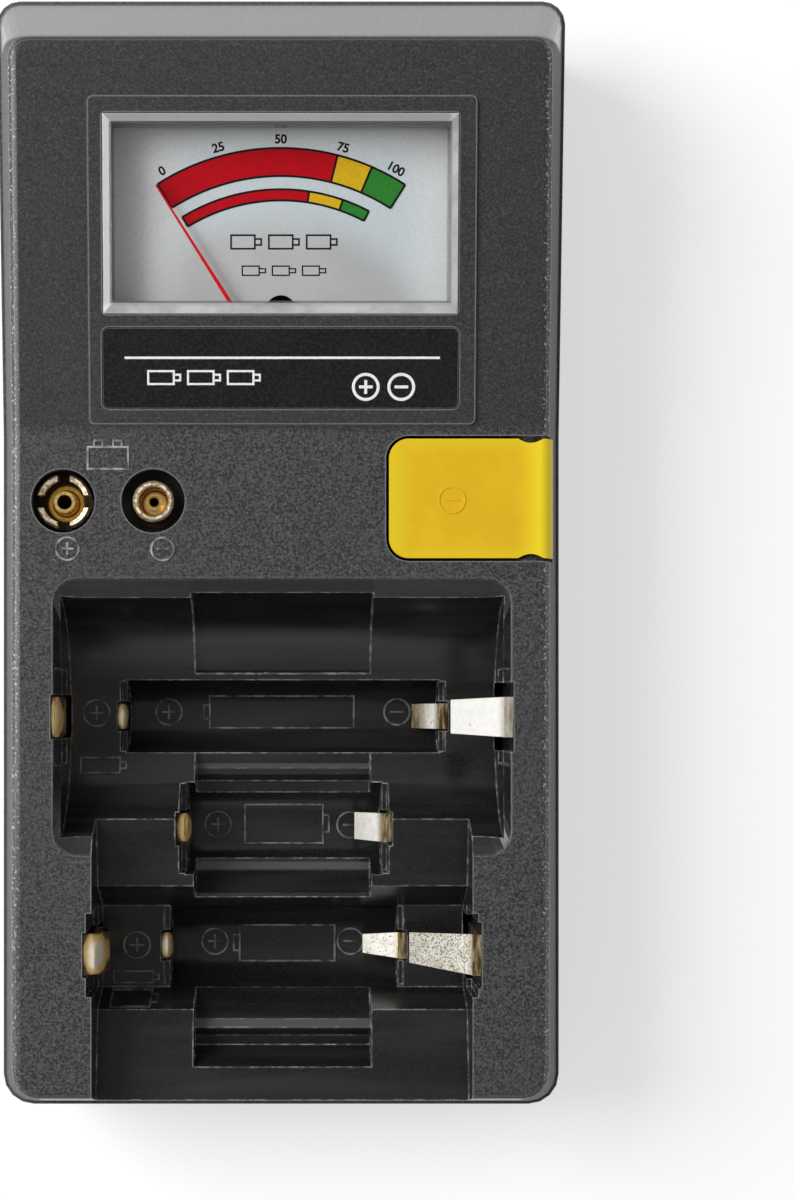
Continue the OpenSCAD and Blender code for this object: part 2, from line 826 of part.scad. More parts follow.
// Ring magnet round the coil, seated on a ring in the housing.
module meter_magnet() color("#55585c") at_pivot(magnet_top - magnet_h + sliver)
    difference() {
        cylinder(r = magnet_r, h = magnet_h);
        translate([0, 0, -1]) cylinder(r = magnet_bore_r, h = through);
    }

// Soft iron core inside the coil, hung from a bar that lies across the magnet.
module meter_core() color(steel) {
    at_pivot(magnet_top - magnet_h) difference() {
        cylinder(r = core_r, h = magnet_h);
        translate([0, 0, -1]) cylinder(r = 1, h = through);
    }
    at_pivot(magnet_top + sliver) difference() {
        translate([-7.4, -1.1, -2 * sliver]) cube([14.8, 2.2, 0.4]);
        translate([0, 0, -1]) cylinder(r = 1, h = through);
    }
}

// Bridge over the coil that carries the upper jewel screw.
module meter_bridge() color(brass) at_pivot(0) difference() {
    union() {
        translate([-magnet_r + 0.2, -2, bridge_top - bridge_t]) cube([2 * magnet_r - 0.4, 4, bridge_t]);
        for (side = [-1, 1])
            translate([side * (magnet_r - 0.75) - 0.55, -2, magnet_top + 2 * sliver])
                cube([1.1, 4, bridge_top - magnet_top - bridge_t / 2]);
    }
    translate([0, 0, bridge_top - 3]) cylinder(r = jewel_r + seat, h = through);
}

point_r = 0.3;
point_clear = 0.06;

// Upper and lower bearing screws, each with a cup for the needle's point.
module jewel_screws() color(brass) {
    at_pivot(bridge_top - bridge_t - 0.1) difference() {
        cylinder(r = jewel_r, h = bridge_t + 0.1);
        translate([0, 0, -0.1]) cylinder(r = point_r + point_clear, h = 0.5);
        translate([-1.5, -0.15, bridge_t - 0.15]) cube([3, 0.3, 1]);
    }
    at_pivot(-housing_depth) difference() {
        cylinder(r = jewel_r, h = 2);
        translate([0, 0, 1.6]) cylinder(r = point_r + point_clear, h = 0.5);
        translate([-1.5, -0.15, -0.75]) cube([3, 0.3, 1]);
    }
}

coil_side_r = 4.9;
coil_t = 0.55;
coil_w = 3;
coil_top = -5.1;
coil_foot = -13.9;

module at_needle(z) {
    at_pivot(z) rotate(needle_rest) children();
}

// Coil wound on a light rectangular frame that turns round the core.
module moving_coil() color("#a4552b") at_needle(0) {
    for (side = [-1, 1])
        translate([-coil_w / 2, side > 0 ? coil_side_r : -coil_side_r - coil_t, coil_foot])
            cube([coil_w, coil_t, coil_top - coil_foot]);
    for (z = [coil_foot, coil_top - 0.6])
        translate([-coil_w / 2, -coil_side_r - sliver, z])
            cube([coil_w, 2 * (coil_side_r + sliver), 0.6]);
    translate([0, 0, coil_foot - 0.7]) cylinder(r = 1.1, h = 0.75);
    translate([0, 0, coil_foot - 1.75]) cylinder(r = point_r, h = 1.2);
}

// Pointer with its hub, upper point, tail and balance weight.
module needle() color("#c3202c") at_needle(0) {
    translate([0, 0, coil_top + seat]) cylinder(r = 1.1, h = needle_z - coil_top - seat + 0.3);
    translate([0, 0, needle_z + 0.25]) cylinder(r = point_r, h = 0.85);
    translate([0, 0, needle_z]) linear_extrude(0.25) {
        polygon([
            [-needle_w, 0], [needle_w, 0], [needle_w / 2, needle_l * 0.6],
            [needle_w / 4, needle_l], [-needle_w / 4, needle_l], [-needle_w / 2, needle_l * 0.6]
        ]);
        translate([-needle_w / 2, -6.4]) square([needle_w, 6.4]);
        translate([-4, -needle_w / 2]) square([8, needle_w]);
    }
    translate([0, -5.6, needle_z - 0.3]) cylinder(r = 0.9, h = 0.8);
}

spring_turns = 3;
spring_steps = 24;

function spiral(r, turn) = [r * cos(turn), r * sin(turn)];

// Flat spiral that brings the needle back, wound round the hub below the pointer.
module hairspring() color(brass) at_needle(coil_top + 0.25) linear_extrude(0.3)
    polygon(concat(
        [for (i = [0:spring_turns * spring_steps])
            spiral(1.2 + 0.7 * i / spring_steps, 360 * i / spring_steps)],
        [for (i = [spring_turns * spring_steps:-1:0])
            spiral(1.36 + 0.7 * i / spring_steps, 360 * i / spring_steps)]
    ));

// ---------- nine volt snaps ----------

module snap_board() color(black) difference() {
    translate([snap_mid_x - 11.4, snap_y - 5.6, snap_board_z - snap_board_t])
        cube([22.8, 11.2, snap_board_t]);
    for (x = snap_places)
        translate([x, snap_y, 0]) cylinder(r = 1.1, h = through);
}

rivet_r = 1.05;
rivet_h = snap_board_t + 0.5;
socket_h = 4.8;
stud_h = 5.1;

// Hollow rivet that goes through the board, with a base disc on top of it.
module snap_base(disc_r, tube_r, tube_h) {
    rotate_extrude() polygon([
        [0.7, -rivet_h], [rivet_r, -rivet_h], [rivet_r, 0.02], [disc_r, 0.02], [disc_r, 0.45],
        [tube_r, 0.45], [tube_r, tube_h], [tube_r - 0.5, tube_h], [0.7, 0.45]
    ]);
}

// Positive socket with four sprung petals.
module nine_volt_socket() color(gold) translate([snap_places[0], snap_y, snap_board_z]) {
    snap_base(socket_d / 2 - 0.3, 1.55, 3.4);
    difference() {
        rotate_extrude() polygon([
            [socket_d / 2 - 0.5, 0.3], [socket_d / 2, 0.3], [socket_d / 2, socket_h - 0.6],
            [socket_d / 2 - 0.3, socket_h], [socket_d / 2 - 0.9, socket_h - 0.3],
            [socket_d / 2 - 0.95, socket_h - 1.4], [socket_d / 2 - 0.5, socket_h - 1.8]
        ]);
        for (turn = [0, 90])
            rotate(turn) translate([-through / 2, -0.9, 0.8]) cube([through, 1.8, through]);
    }
}

// Negative stud with a rolled rim.
module nine_volt_stud() color(gold) translate([snap_places[1], snap_y, snap_board_z]) {
    snap_base(stud_d / 2 + 0.6, 1.15, 3.2);
    rotate_extrude() polygon([
        [stud_d / 2 - 0.75, 0.3], [stud_d / 2 - 0.25, 0.3], [stud_d / 2 - 0.3, stud_h - 1.8],
        [stud_d / 2, stud_h - 1.2], [stud_d / 2, stud_h - 0.4], [stud_d / 2 - 0.3, stud_h],
        [stud_d / 2 - 0.6, stud_h], [stud_d / 2 - 0.9, stud_h - 0.5], [stud_d / 2 - 0.75, stud_h - 1.6]
    ]);
}

// ---------- battery contacts ----------

// A strip standing in its pocket that bows out towards the cell.
module bowed_contact(end_x, y, width, span, bow_z, bow_h, bow_out) {
    radius = (bow_h * bow_h / 4 + bow_out * bow_out) / (2 * bow_out);
    back = end_x - pocket_d + seat;
    translate([back, y + width / 2, 0]) rotate([90, 0, 0]) linear_extrude(width) {
        translate([0, span[0]]) square([strip_t, bow_z - bow_h / 2 - span[0] + 0.1]);
        translate([0, bow_z + bow_h / 2 - 0.1])
            square([strip_t, span[1] - bow_z - bow_h / 2 + 0.1]);
        intersection() {
            translate([0, bow_z - bow_h / 2]) square([strip_t + bow_out + 1, bow_h]);
            translate([strip_t + bow_out - radius, bow_z]) difference() {
                circle(radius, $fn = 72);
                circle(radius - strip_t, $fn = 72);
            }
        }
    }
}

module d_positive_contact() color(gold)
    bowed_contact(d_end(-1), d_y, d_contact_w, d_contact_z, face_z - 3.9, 6.4, 1.1);
module aaa_positive_contact() color(gold)
    bowed_contact(aaa_end(-1), d_y, aaa_contact_w, aaa_contact_z, aaa_z - 1, 4, 1);
module six_volt_positive_contact() color(gold)
    bowed_contact(six_end(-1), six_y, six_contact_w, six_contact_z, six_z - 0.5, 5, 1.6);
module c_aa_positive_contact() color(gold)
    bowed_contact(c_end(-1), n_y + c_contact_up, c_contact_w, c_contact_z, face_z - 6.6, 11, 2.9);
module n_positive_contact() color(gold)
    bowed_contact(n_end(-1), n_y, n_contact_w, n_contact_z, aa_z - 2.4, 3.4, 1.2);

// Distance from the fixed strip of a negative contact to the axis its leaf bends about.
bend_in = 0.75;
lip_gap = 0.1;

// Fixed part of a negative contact: a strip standing in its pocket, bent over the leaf's root.
module anchor(end_x, y, width, foot_z, hinge_z) {
    lip_z = hinge_z + knuckle_r + lip_gap;
    translate([strip_x(end_x, 1) - strip_t / 2, y - width / 2, foot_z])
        cube([strip_t, width, lip_z + strip_t - foot_z]);
    translate([strip_x(end_x, 1) - bend_in - knuckle_r, y - width / 2, lip_z])
        cube([bend_in + knuckle_r, width, strip_t]);
}

// Sprung leaf that slopes down into the trough from its rolled root.
module leaf(end_x, y, width, tip_w, hinge_z, reach, drop) {
    span = sqrt(reach * reach + drop * drop);
    translate([strip_x(end_x, 1) - bend_in, y, hinge_z]) {
        translate([0, width / 2, 0]) rotate([90, 0, 0]) cylinder(r = knuckle_r, h = width);
        rotate([0, -atan2(drop, reach), 0]) translate([0, 0, -strip_t / 2]) linear_extrude(strip_t)
            polygon([[0, -width / 2], [0, width / 2], [-span, tip_w / 2], [-span, -tip_w / 2]]);
    }
}

// Height of the axis that each leaf bends about.
lip_up = cell_gap + strip_t + lip_gap + knuckle_r;
d_hinge_z = face_z - 1;
aaa_hinge_z = d_floor_z - lip_up;
six_hinge_z = face_z - 12;
c_hinge_z = face_z - 1;
n_hinge_z = aa_z - lip_up;

module d_negative_anchor() color(nickel)
    anchor(d_end(1), d_y, d_contact_w, d_contact_z[0], d_hinge_z);
module aaa_negative_anchor() color(nickel)
    anchor(aaa_end(1), d_y, aaa_contact_w, aaa_contact_z[0], aaa_hinge_z);
module six_volt_negative_anchor() color(nickel)
    anchor(six_end(1), six_y, six_contact_w, six_contact_z[0], six_hinge_z);
module c_aa_negative_anchor() color(nickel)
    anchor(c_end(1), n_y + c_contact_up, c_contact_w, c_contact_z[0], c_hinge_z);
module n_negative_anchor() color(nickel)
    anchor(n_end(1), n_y, n_contact_w, n_contact_z[0], n_hinge_z);

module d_negative_leaf() color(nickel)
    leaf(d_end(1), d_y, d_contact_w, 4.9, d_hinge_z, 7.1, 8.5);
module aaa_negative_leaf() color(nickel)
    leaf(aaa_end(1), d_y, aaa_contact_w, 3.6, aaa_hinge_z, 4, 4.2);
module six_volt_negative_leaf() color(nickel)
    leaf(six_end(1), six_y, six_contact_w, 4, six_hinge_z, 4.1, 5.2);
module c_aa_negative_leaf() color(nickel)
    leaf(c_end(1), n_y + c_contact_up, c_contact_w, 4.4, c_hinge_z, 8.6, 9);
module n_negative_leaf() color(nickel)
    leaf(n_end(1), n_y, n_contact_w, 2.8, n_hinge_z, 5.4, 2.4);

// ---------- button cell flap ----------

flap_top = face_z + 0.1;
tail_r = 2;
barrel_r = 1.55;
barrel_half = flap_half - 2.2;

module flap_outline() {
    translate([flap_x + flap_r, flap_y - flap_half]) square([flap_l - flap_r, flap_w]);
    translate([flap_x, flap_y - flap_half + flap_r]) square([flap_l, flap_w - 2 * flap_r]);
    for (side = [-1, 1])
        translate([flap_x + flap_r, flap_y + side * (flap_half - flap_r)]) circle(flap_r);
}

// Side view of the flap: a flat plate whose tail rounds over the edge of the case.
module flap_side() {
    translate([flap_x, flap_top - flap_t]) square([flap_l - tail_r, flap_t]);
    intersection() {
        translate([flap_end_x - tail_r, flap_top - tail_r]) circle(tail_r);
        translate([flap_end_x - tail_r - sliver, flap_top - tail_r])
            square([tail_r + 1, tail_r + 1]);
    }
}

module button_cell_flap() color(yellow) difference() {
    union() {
        intersection() {
            translate([0, 0, well_z]) linear_extrude(through) flap_outline();
            translate([0, flap_y + flap_w, 0]) rotate([90, 0, 0])
                linear_extrude(2 * flap_w) flap_side();
        }
        translate([pivot_x, flap_y + barrel_half, pivot_z])
            rotate([90, 0, 0]) cylinder(r = barrel_r, h = 2 * barrel_half);
    }
    pin_bore(flap_pin_r + flap_pin_clear, through);
    translate([pivot_x, flap_y + coil_half, pivot_z])
        rotate([90, 0, 0]) cylinder(r = barrel_r + 0.12, h = 2 * coil_half);
    for (side = [-1, 1])
        translate([pivot_x, flap_y + side * (flap_half + sliver), pivot_z])
            rotate([side * 90, 0, 0]) cylinder(r1 = 2.9, r2 = 1.6, h = 1.3);
}

coil_half = 1.7;
coil_wire = 0.27;
coil_mid = flap_pin_r + 0.35;
coil_pitch = 0.52;

// Closing spring: touching rings of wire round the pin, one leg under the flap and one down.
module flap_spring() color(steel) translate([pivot_x, flap_y, pivot_z]) {
    for (i = [-2:2])
        translate([0, i * coil_pitch, 0]) rotate([90, 0, 0])
            rotate_extrude($fn = 36) translate([coil_mid, 0]) circle(coil_wire, $fn = 16);
    translate([-coil_mid, 2 * coil_pitch, 0]) rotate([0, -90, 0])
        cylinder(r = coil_wire - sliver, h = 5, $fn = 24);
    translate([coil_mid, -2 * coil_pitch, -2.6])
        cylinder(r = coil_wire - sliver, h = 2.6, $fn = 24);
}

module flap_pin() color(steel) pin_bore(flap_pin_r, pin_l);

contact_plate_t = 0.3;

// Plate under the flap that touches the top of a button cell.
module flap_contact() color(nickel)
    translate([flap_x + 9, flap_y, flap_top - flap_t - contact_plate_t - sliver]) {
        translate([-5, -4, 0]) cube([10, 8, contact_plate_t]);
        translate([0, 0, -0.5]) cylinder(r1 = 1.4, r2 = 2.2, h = 0.5 + sliver);
    }

// Contact in the floor of the well, with a tab down through the floor.
module button_cell_contact() color(nickel)
    translate([flap_x + 9, flap_y, well_z + sliver]) {
        translate([-6, -5, 0]) cube([12, 10, contact_plate_t]);
        translate([0, 0, contact_plate_t - sliver]) cylinder(r1 = 3, r2 = 2.2, h = 0.5);
    }

// ---------- circuit board ----------

board_z = floor_t + board_up + sliver;

module circuit_board() color("#2e6b3c") difference() {
    translate([-board_w / 2, board_y - board_l / 2, board_z]) cube([board_w, board_l, board_t]);
    for (side = [-1, 1], end = [-1, 1])
        translate([side * (board_w / 2 - 3), board_y + end * (board_l / 2 - 3), 0])
            cylinder(r = 0.9, h = through);
}

resistor_count = 6;
resistor_pitch = 5;
resistor_r = 1.2;

// One load resistor for each kind of cell.
module load_resistors() color("#c9b48a")
    for (i = [0:resistor_count - 1])
        translate([(i - (resistor_count - 1) / 2) * resistor_pitch, board_y - 4,
                board_z + board_t + resistor_r + sliver])
            rotate([-90, 0, 0]) {
                cylinder(r = resistor_r, h = 8);
                translate([0, 0, -2]) cylinder(r = 0.3, h = 12);
            }

front_case();
back_case();
case_screws();
meter_lens();
label_plate();
dial_plate();
meter_housing();
meter_magnet();
meter_core();
meter_bridge();
jewel_screws();
needle();
moving_coil();
hairspring();
nine_volt_socket();
nine_volt_stud();
snap_board();
d_positive_contact();
aaa_positive_contact();
six_volt_positive_contact();
c_aa_positive_contact();
n_positive_contact();
d_negative_anchor();
aaa_negative_anchor();
six_volt_negative_anchor();
c_aa_negative_anchor();
n_negative_anchor();
d_negative_leaf();
aaa_negative_leaf();
six_volt_negative_leaf();
c_aa_negative_leaf();
n_negative_leaf();
button_cell_flap();
flap_pin();
flap_spring();
flap_contact();
button_cell_contact();
circuit_board();
load_resistors();
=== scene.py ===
"""A battery tester with a moving-coil meter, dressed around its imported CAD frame.

Lengths are millimetres times MM, in the frame's own axes: X to the right, Y towards the meter end,
Z out of the front face. A place on the sloping meter section is given as (x, along, up), where
along is measured from the crease up the slope and up is measured off the sloping face.
"""

import json
import math

import bmesh
import bpy
from mathutils import Matrix, Vector
from mathutils.bvhtree import BVHTree

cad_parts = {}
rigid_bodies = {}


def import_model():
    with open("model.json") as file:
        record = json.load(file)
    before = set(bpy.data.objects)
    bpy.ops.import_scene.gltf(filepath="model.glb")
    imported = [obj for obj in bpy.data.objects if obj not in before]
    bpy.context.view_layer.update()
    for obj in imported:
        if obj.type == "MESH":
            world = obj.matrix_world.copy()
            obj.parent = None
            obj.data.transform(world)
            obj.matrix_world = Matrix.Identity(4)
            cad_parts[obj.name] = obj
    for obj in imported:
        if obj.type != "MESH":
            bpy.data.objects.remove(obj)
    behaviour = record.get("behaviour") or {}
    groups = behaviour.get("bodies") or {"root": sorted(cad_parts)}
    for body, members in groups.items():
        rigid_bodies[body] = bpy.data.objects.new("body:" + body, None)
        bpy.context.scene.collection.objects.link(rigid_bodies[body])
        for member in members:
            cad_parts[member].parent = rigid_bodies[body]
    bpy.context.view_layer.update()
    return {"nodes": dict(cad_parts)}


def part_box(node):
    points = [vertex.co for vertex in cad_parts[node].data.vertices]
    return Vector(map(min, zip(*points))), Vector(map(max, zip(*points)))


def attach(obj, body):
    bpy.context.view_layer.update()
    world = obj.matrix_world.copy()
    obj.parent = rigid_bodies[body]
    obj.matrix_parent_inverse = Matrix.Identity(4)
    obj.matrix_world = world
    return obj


for old in list(bpy.data.objects):
    bpy.data.objects.remove(old)

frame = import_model()

MM = 0.001

# ---------- places on the case ----------

FACE_Z = 28.0
CREASE_Y = 16.7
TILT = math.radians(4.74)
FACE_HALF = 38.15
SECTION_L = 54.5

# Along the slope: the needle's pivot. Off the slope: the dial's face and the label's top.
PIVOT = 6.9
DIAL_UP = -5.8
LABEL_UP = 0.32

# The clear middle of the lens: half its width, and its ends along the slope.
LENS_INNER_X = 23.5
LENS_INNER_LOW, LENS_INNER_HIGH = 17.86, 42.12

SLOPE_ALONG = Vector((0, math.cos(TILT), math.sin(TILT)))
SLOPE_UP = Vector((0, -math.sin(TILT), math.cos(TILT)))
SLOPE_START = Vector((0, CREASE_Y, FACE_Z))


def on_slope(x, along, up):
    """A point of the sloping meter section, in metres."""
    return (Vector((x, 0, 0)) + SLOPE_START + SLOPE_ALONG * along + SLOPE_UP * up) * MM


# ---------- materials ----------

BEVEL_SAMPLES = 4


class Finish:
    """A procedural material: one Principled shader fed by textures that stay on the object."""

    def __init__(self, name, color, roughness, metallic=0.0, **settings):
        self.material = bpy.data.materials.new(name)
        self.material.use_nodes = True
        self.tree = self.material.node_tree
        self.shader = self.tree.nodes["Principled BSDF"]
        self.place = self.tree.nodes.new("ShaderNodeTexCoord").outputs["Object"]
        self.set("Base Color", color)
        self.set("Roughness", roughness)
        self.set("Metallic", metallic)
        for socket, value in settings.items():
            self.set(socket.replace("_", " "), value)

    def set(self, socket, value):
        """Writes a constant on the shader, or links a texture to it."""
        self.feed(self.shader, socket, value)

    def feed(self, node, socket, value):
        """Writes a constant on a node's socket, or links a texture to it."""
        target = node.inputs[socket]
        if isinstance(value, bpy.types.NodeSocket):
            self.tree.links.new(value, target)
        else:
            target.default_value = (*value, 1) if target.type == "RGBA" else value

    def math(self, operation, first, second=0.0):
        """One operation on numbers or textures."""
        node = self.tree.nodes.new("ShaderNodeMath")
        node.operation = operation
        self.feed(node, 0, first)
        self.feed(node, 1, second)
        return node.outputs[0]

    def distance(self, across, along):
        """How far a point lies from a middle, from its two parts."""
        squares = [self.math("MULTIPLY", part, part) for part in (across, along)]
        return self.math("SQRT", self.math("ADD", *squares))

    def stretched(self, scale):
        """The place of a point, scaled along each axis."""
        node = self.tree.nodes.new("ShaderNodeMapping")
        node.inputs["Scale"].default_value = scale
        self.tree.links.new(self.place, node.inputs["Vector"])
        return node.outputs[0]

    def noise(self, size, detail=2.0, stretch=(1, 1, 1), roughness=0.5):
        """Noise from 0 to 1 that rises and falls about once in size millimetres."""
        node = self.tree.nodes.new("ShaderNodeTexNoise")
        self.tree.links.new(self.stretched(stretch), node.inputs["Vector"])
        node.inputs["Scale"].default_value = 1 / (size * MM)
        node.inputs["Detail"].default_value = detail
        node.inputs["Roughness"].default_value = roughness
        return node.outputs["Fac"]

    def spread(self, value, low, high, to_low=0.0, to_high=1.0):
        """Maps low..high to to_low..to_high, smoothly, and holds the ends."""
        node = self.tree.nodes.new("ShaderNodeMapRange")
        node.interpolation_type = "SMOOTHSTEP"
        self.feed(node, "Value", value)
        self.feed(node, "From Min", low)
        self.feed(node, "From Max", high)
        self.feed(node, "To Min", to_low)
        self.feed(node, "To Max", to_high)
        return node.outputs["Result"]

    def mix(self, amount, first, second):
        """Mixes two colours."""
        node = self.tree.nodes.new("ShaderNodeMix")
        node.data_type = "RGBA"
        self.feed(node, 0, amount)
        self.feed(node, 6, first)
        self.feed(node, 7, second)
        return node.outputs[2]

    def blend(self, amount, first, second):
        """Mixes two numbers."""
        node = self.tree.nodes.new("ShaderNodeMix")
        self.feed(node, 0, amount)
        self.feed(node, 2, first)
        self.feed(node, 3, second)
        return node.outputs[0]

    def bump(self, height, depth, strength):
        """A relief of depth millimetres from a height of 0 to 1."""
        node = self.tree.nodes.new("ShaderNodeBump")
        node.inputs["Strength"].default_value = strength
        node.inputs["Distance"].default_value = depth * MM
        self.tree.links.new(height, node.inputs["Height"])
        self.set("Normal", node.outputs["Normal"])

    def along(self, direction, start=(0, 0, 0)):
        """How far a point lies along direction from start, in millimetres."""
        node = self.tree.nodes.new("ShaderNodeVectorMath")
        node.operation = "DOT_PRODUCT"
        self.tree.links.new(self.place, node.inputs[0])
        node.inputs[1].default_value = tuple(Vector(direction) / MM)
        return self.math("SUBTRACT", node.outputs["Value"], Vector(direction).dot(Vector(start)))

    def x(self):
        """A point's X in millimetres."""
        return self.along((1, 0, 0))

    def y(self):
        """A point's Y in millimetres."""
        return self.along((0, 1, 0))

    def z(self):
        """A point's Z in millimetres."""
        return self.along((0, 0, 1))

    def up_slope(self):
        """How far a point lies up the slope from the crease."""
        return self.along(SLOPE_ALONG, SLOPE_START)

    def off_slope(self):
        """How far a point stands off the sloping face."""
        return self.along(SLOPE_UP, SLOPE_START)

    def inside(self, value, low, high, soft):
        """1 where value lies between low and high, fading over soft."""
        rise = self.spread(value, low - soft, low)
        fall = self.spread(value, high, high + soft, 1.0, 0.0)
        return self.math("MULTIPLY", rise, fall)

    def both(self, *masks):
        """Where all of the masks are."""
        result = masks[0]
        for mask in masks[1:]:
            result = self.math("MULTIPLY", result, mask)
        return result

    def either(self, *masks):
        """Where any of the masks is."""
        result = masks[0]
        for mask in masks[1:]:
            result = self.math("MAXIMUM", result, mask)
        return result

    def edges(self, radius):
        """1 along the edges of the shape, within radius millimetres, and 0 on its open faces."""
        rounded = self.tree.nodes.new("ShaderNodeBevel")
        rounded.samples = BEVEL_SAMPLES
        rounded.inputs["Radius"].default_value = radius * MM
        plain = self.tree.nodes.new("ShaderNodeNewGeometry")
        node = self.tree.nodes.new("ShaderNodeVectorMath")
        node.operation = "DOT_PRODUCT"
        self.tree.links.new(rounded.outputs["Normal"], node.inputs[0])
        self.tree.links.new(plain.outputs["Normal"], node.inputs[1])
        return self.spread(node.outputs["Value"], 0.995, 0.86)

    def grazing(self, facing, edge_on):
        """A number that rises from facing to edge_on as a surface turns away from the eye."""
        node = self.tree.nodes.new("ShaderNodeLayerWeight")
        node.inputs["Blend"].default_value = 0.3
        return self.spread(node.outputs["Facing"], 0.1, 0.9, facing, edge_on)

    def inverse(self, mask):
        """Where a mask is not."""
        return self.math("SUBTRACT", 1.0, mask)

    def give(self, obj):
        """Puts the material on an object, in every slot it has."""
        if not obj.material_slots:
            obj.data.materials.append(self.material)
        for slot in obj.material_slots:
            slot.material = self.material


GRAIN = 0.34
# Where the troughs lie: half their width, their ends, their foot and their mouth.
TROUGHS_HALF = 34.2
TROUGHS_Y = (-79.2, -3.9)
TROUGHS_Z = (3.8, 27.7)
# The finger channel: its sides, its recess in the D trough's wall, and the lands across it that
# carry a painted highlight.
CHANNEL_X = (-12.9, 13.1)
RECESS_Y = (-12.5, -1.2)
GLEAM_LANDS = ((-31.5, -31.0), (-46.6, -45.8), (-69.6, -68.3))


def case_finish():
    """Charcoal moulding: fine sandy grain outside, smoother inside the troughs and darkened there
    by painted shade.
    """
    f = Finish(
        "case_plastic", (0.05, 0.05, 0.052), 0.4,
        Specular_IOR_Level=0.2, Coat_Roughness=0.2, Coat_IOR=1.6,
    )
    grain = f.noise(GRAIN, 2)
    pits = f.noise(GRAIN * 1.1, 1)
    cloud = f.noise(20, 3)
    dust = f.noise(0.3, 2)
    streak = f.noise(3.6, 2, (0.12, 1, 1))
    side = f.math("ABSOLUTE", f.x())
    in_trough = f.both(
        f.inside(f.z(), *TROUGHS_Z, 0.25),
        f.inside(f.x(), -TROUGHS_HALF, TROUGHS_HALF, 0.2),
        f.inside(f.y(), *TROUGHS_Y, 0.2),
    )
    end_wall = f.spread(f.up_slope(), SECTION_L - 0.4, SECTION_L + 0.4)
    above_face = f.math("MINIMUM", f.math("SUBTRACT", f.z(), FACE_Z), f.off_slope())
    rim = f.inside(side, FACE_HALF - 0.6, FACE_HALF + 0.5, 1.0)
    rim = f.both(rim, f.spread(above_face, -1.5, -0.6))
    # Painted shade: the sloping meter section's face is painted darker, for how the light falls on
    # its tilt.
    meter_end = f.spread(f.y(), CREASE_Y - 1, CREASE_Y + 1)
    meter_end = f.both(meter_end, f.spread(above_face, -1.5, -0.3))
    tone = f.mix(f.spread(grain, 0.32, 0.68), (0.024, 0.024, 0.025), (0.086, 0.086, 0.089))
    tone = f.mix(f.spread(cloud, 0.35, 0.7, 0.0, 0.25), tone, (0.062, 0.062, 0.064))
    tone = f.mix(f.math("MULTIPLY", meter_end, 0.6), tone, (0.029, 0.029, 0.029))
    # Painted glints: bright flecks in the grain, strongest as a painted highlight along the
    # rounded sides.
    painted_glints = f.both(f.spread(pits, 0.56, 0.74), f.blend(rim, f.blend(meter_end, 0.4, 0.18), 1.0))
    tone = f.mix(painted_glints, tone, f.mix(rim, (0.2, 0.2, 0.205), (0.5, 0.5, 0.51)))
    # Inside the troughs the colour is painted darker: painted shade of the deep troughs, mottled
    # with random streaks and dust.
    dark = f.mix(f.spread(streak, 0.35, 0.7), (0.009, 0.009, 0.0092), (0.021, 0.021, 0.0215))
    dark = f.mix(f.spread(dust, 0.4, 0.75, 0.0, 0.45), dark, (0.032, 0.032, 0.0325))
    tone = f.mix(in_trough, tone, dark)
    channel = f.both(in_trough, f.inside(f.x(), *CHANNEL_X, 0.05))
    recess = f.both(channel, f.inside(f.y(), *RECESS_Y, 0.1))
    # Painted shade: the recess in the D trough's wall is darkened further.
    tone = f.mix(f.math("MULTIPLY", recess, 0.6), tone, (0.006, 0.006, 0.006))
    # Painted highlight: lighter bands across the finger channel's lands.
    lands = f.either(*(f.inside(f.y(), low, high, 0.25) for low, high in GLEAM_LANDS))
    lands = f.both(lands, channel)
    tone = f.mix(f.math("MULTIPLY", lands, 0.75), tone, (0.09, 0.09, 0.091))
    # Painted highlight along every edge, broken into bright glints inside the troughs.
    edge_highlight = f.math("MULTIPLY", f.edges(0.36), 0.9)
    edge_glints = f.mix(f.spread(f.noise(1.3, 2), 0.42, 0.66), (0.13, 0.13, 0.132), (0.55, 0.55, 0.55))
    f.set("Base Color", f.mix(edge_highlight, tone, f.mix(in_trough, (0.3, 0.3, 0.305), edge_glints)))
    rough = f.spread(grain, 0.3, 0.7, 0.4, 0.6)
    f.set("Roughness", f.blend(in_trough, rough, f.spread(streak, 0.3, 0.7, 0.2, 0.34)))
    rim_coat, trough_coat = f.math("MULTIPLY", rim, 0.5), f.math("MULTIPLY", in_trough, 0.3)
    f.set("Coat Weight", f.either(end_wall, rim_coat, trough_coat))
    calm = f.either(in_trough, end_wall)
    f.bump(f.blend(calm, grain, f.blend(0.85, dust, 0.5)), 0.05, 0.55)
    return f


# The width of the dark line round the lens's clear middle.
LENS_LINE = 0.3


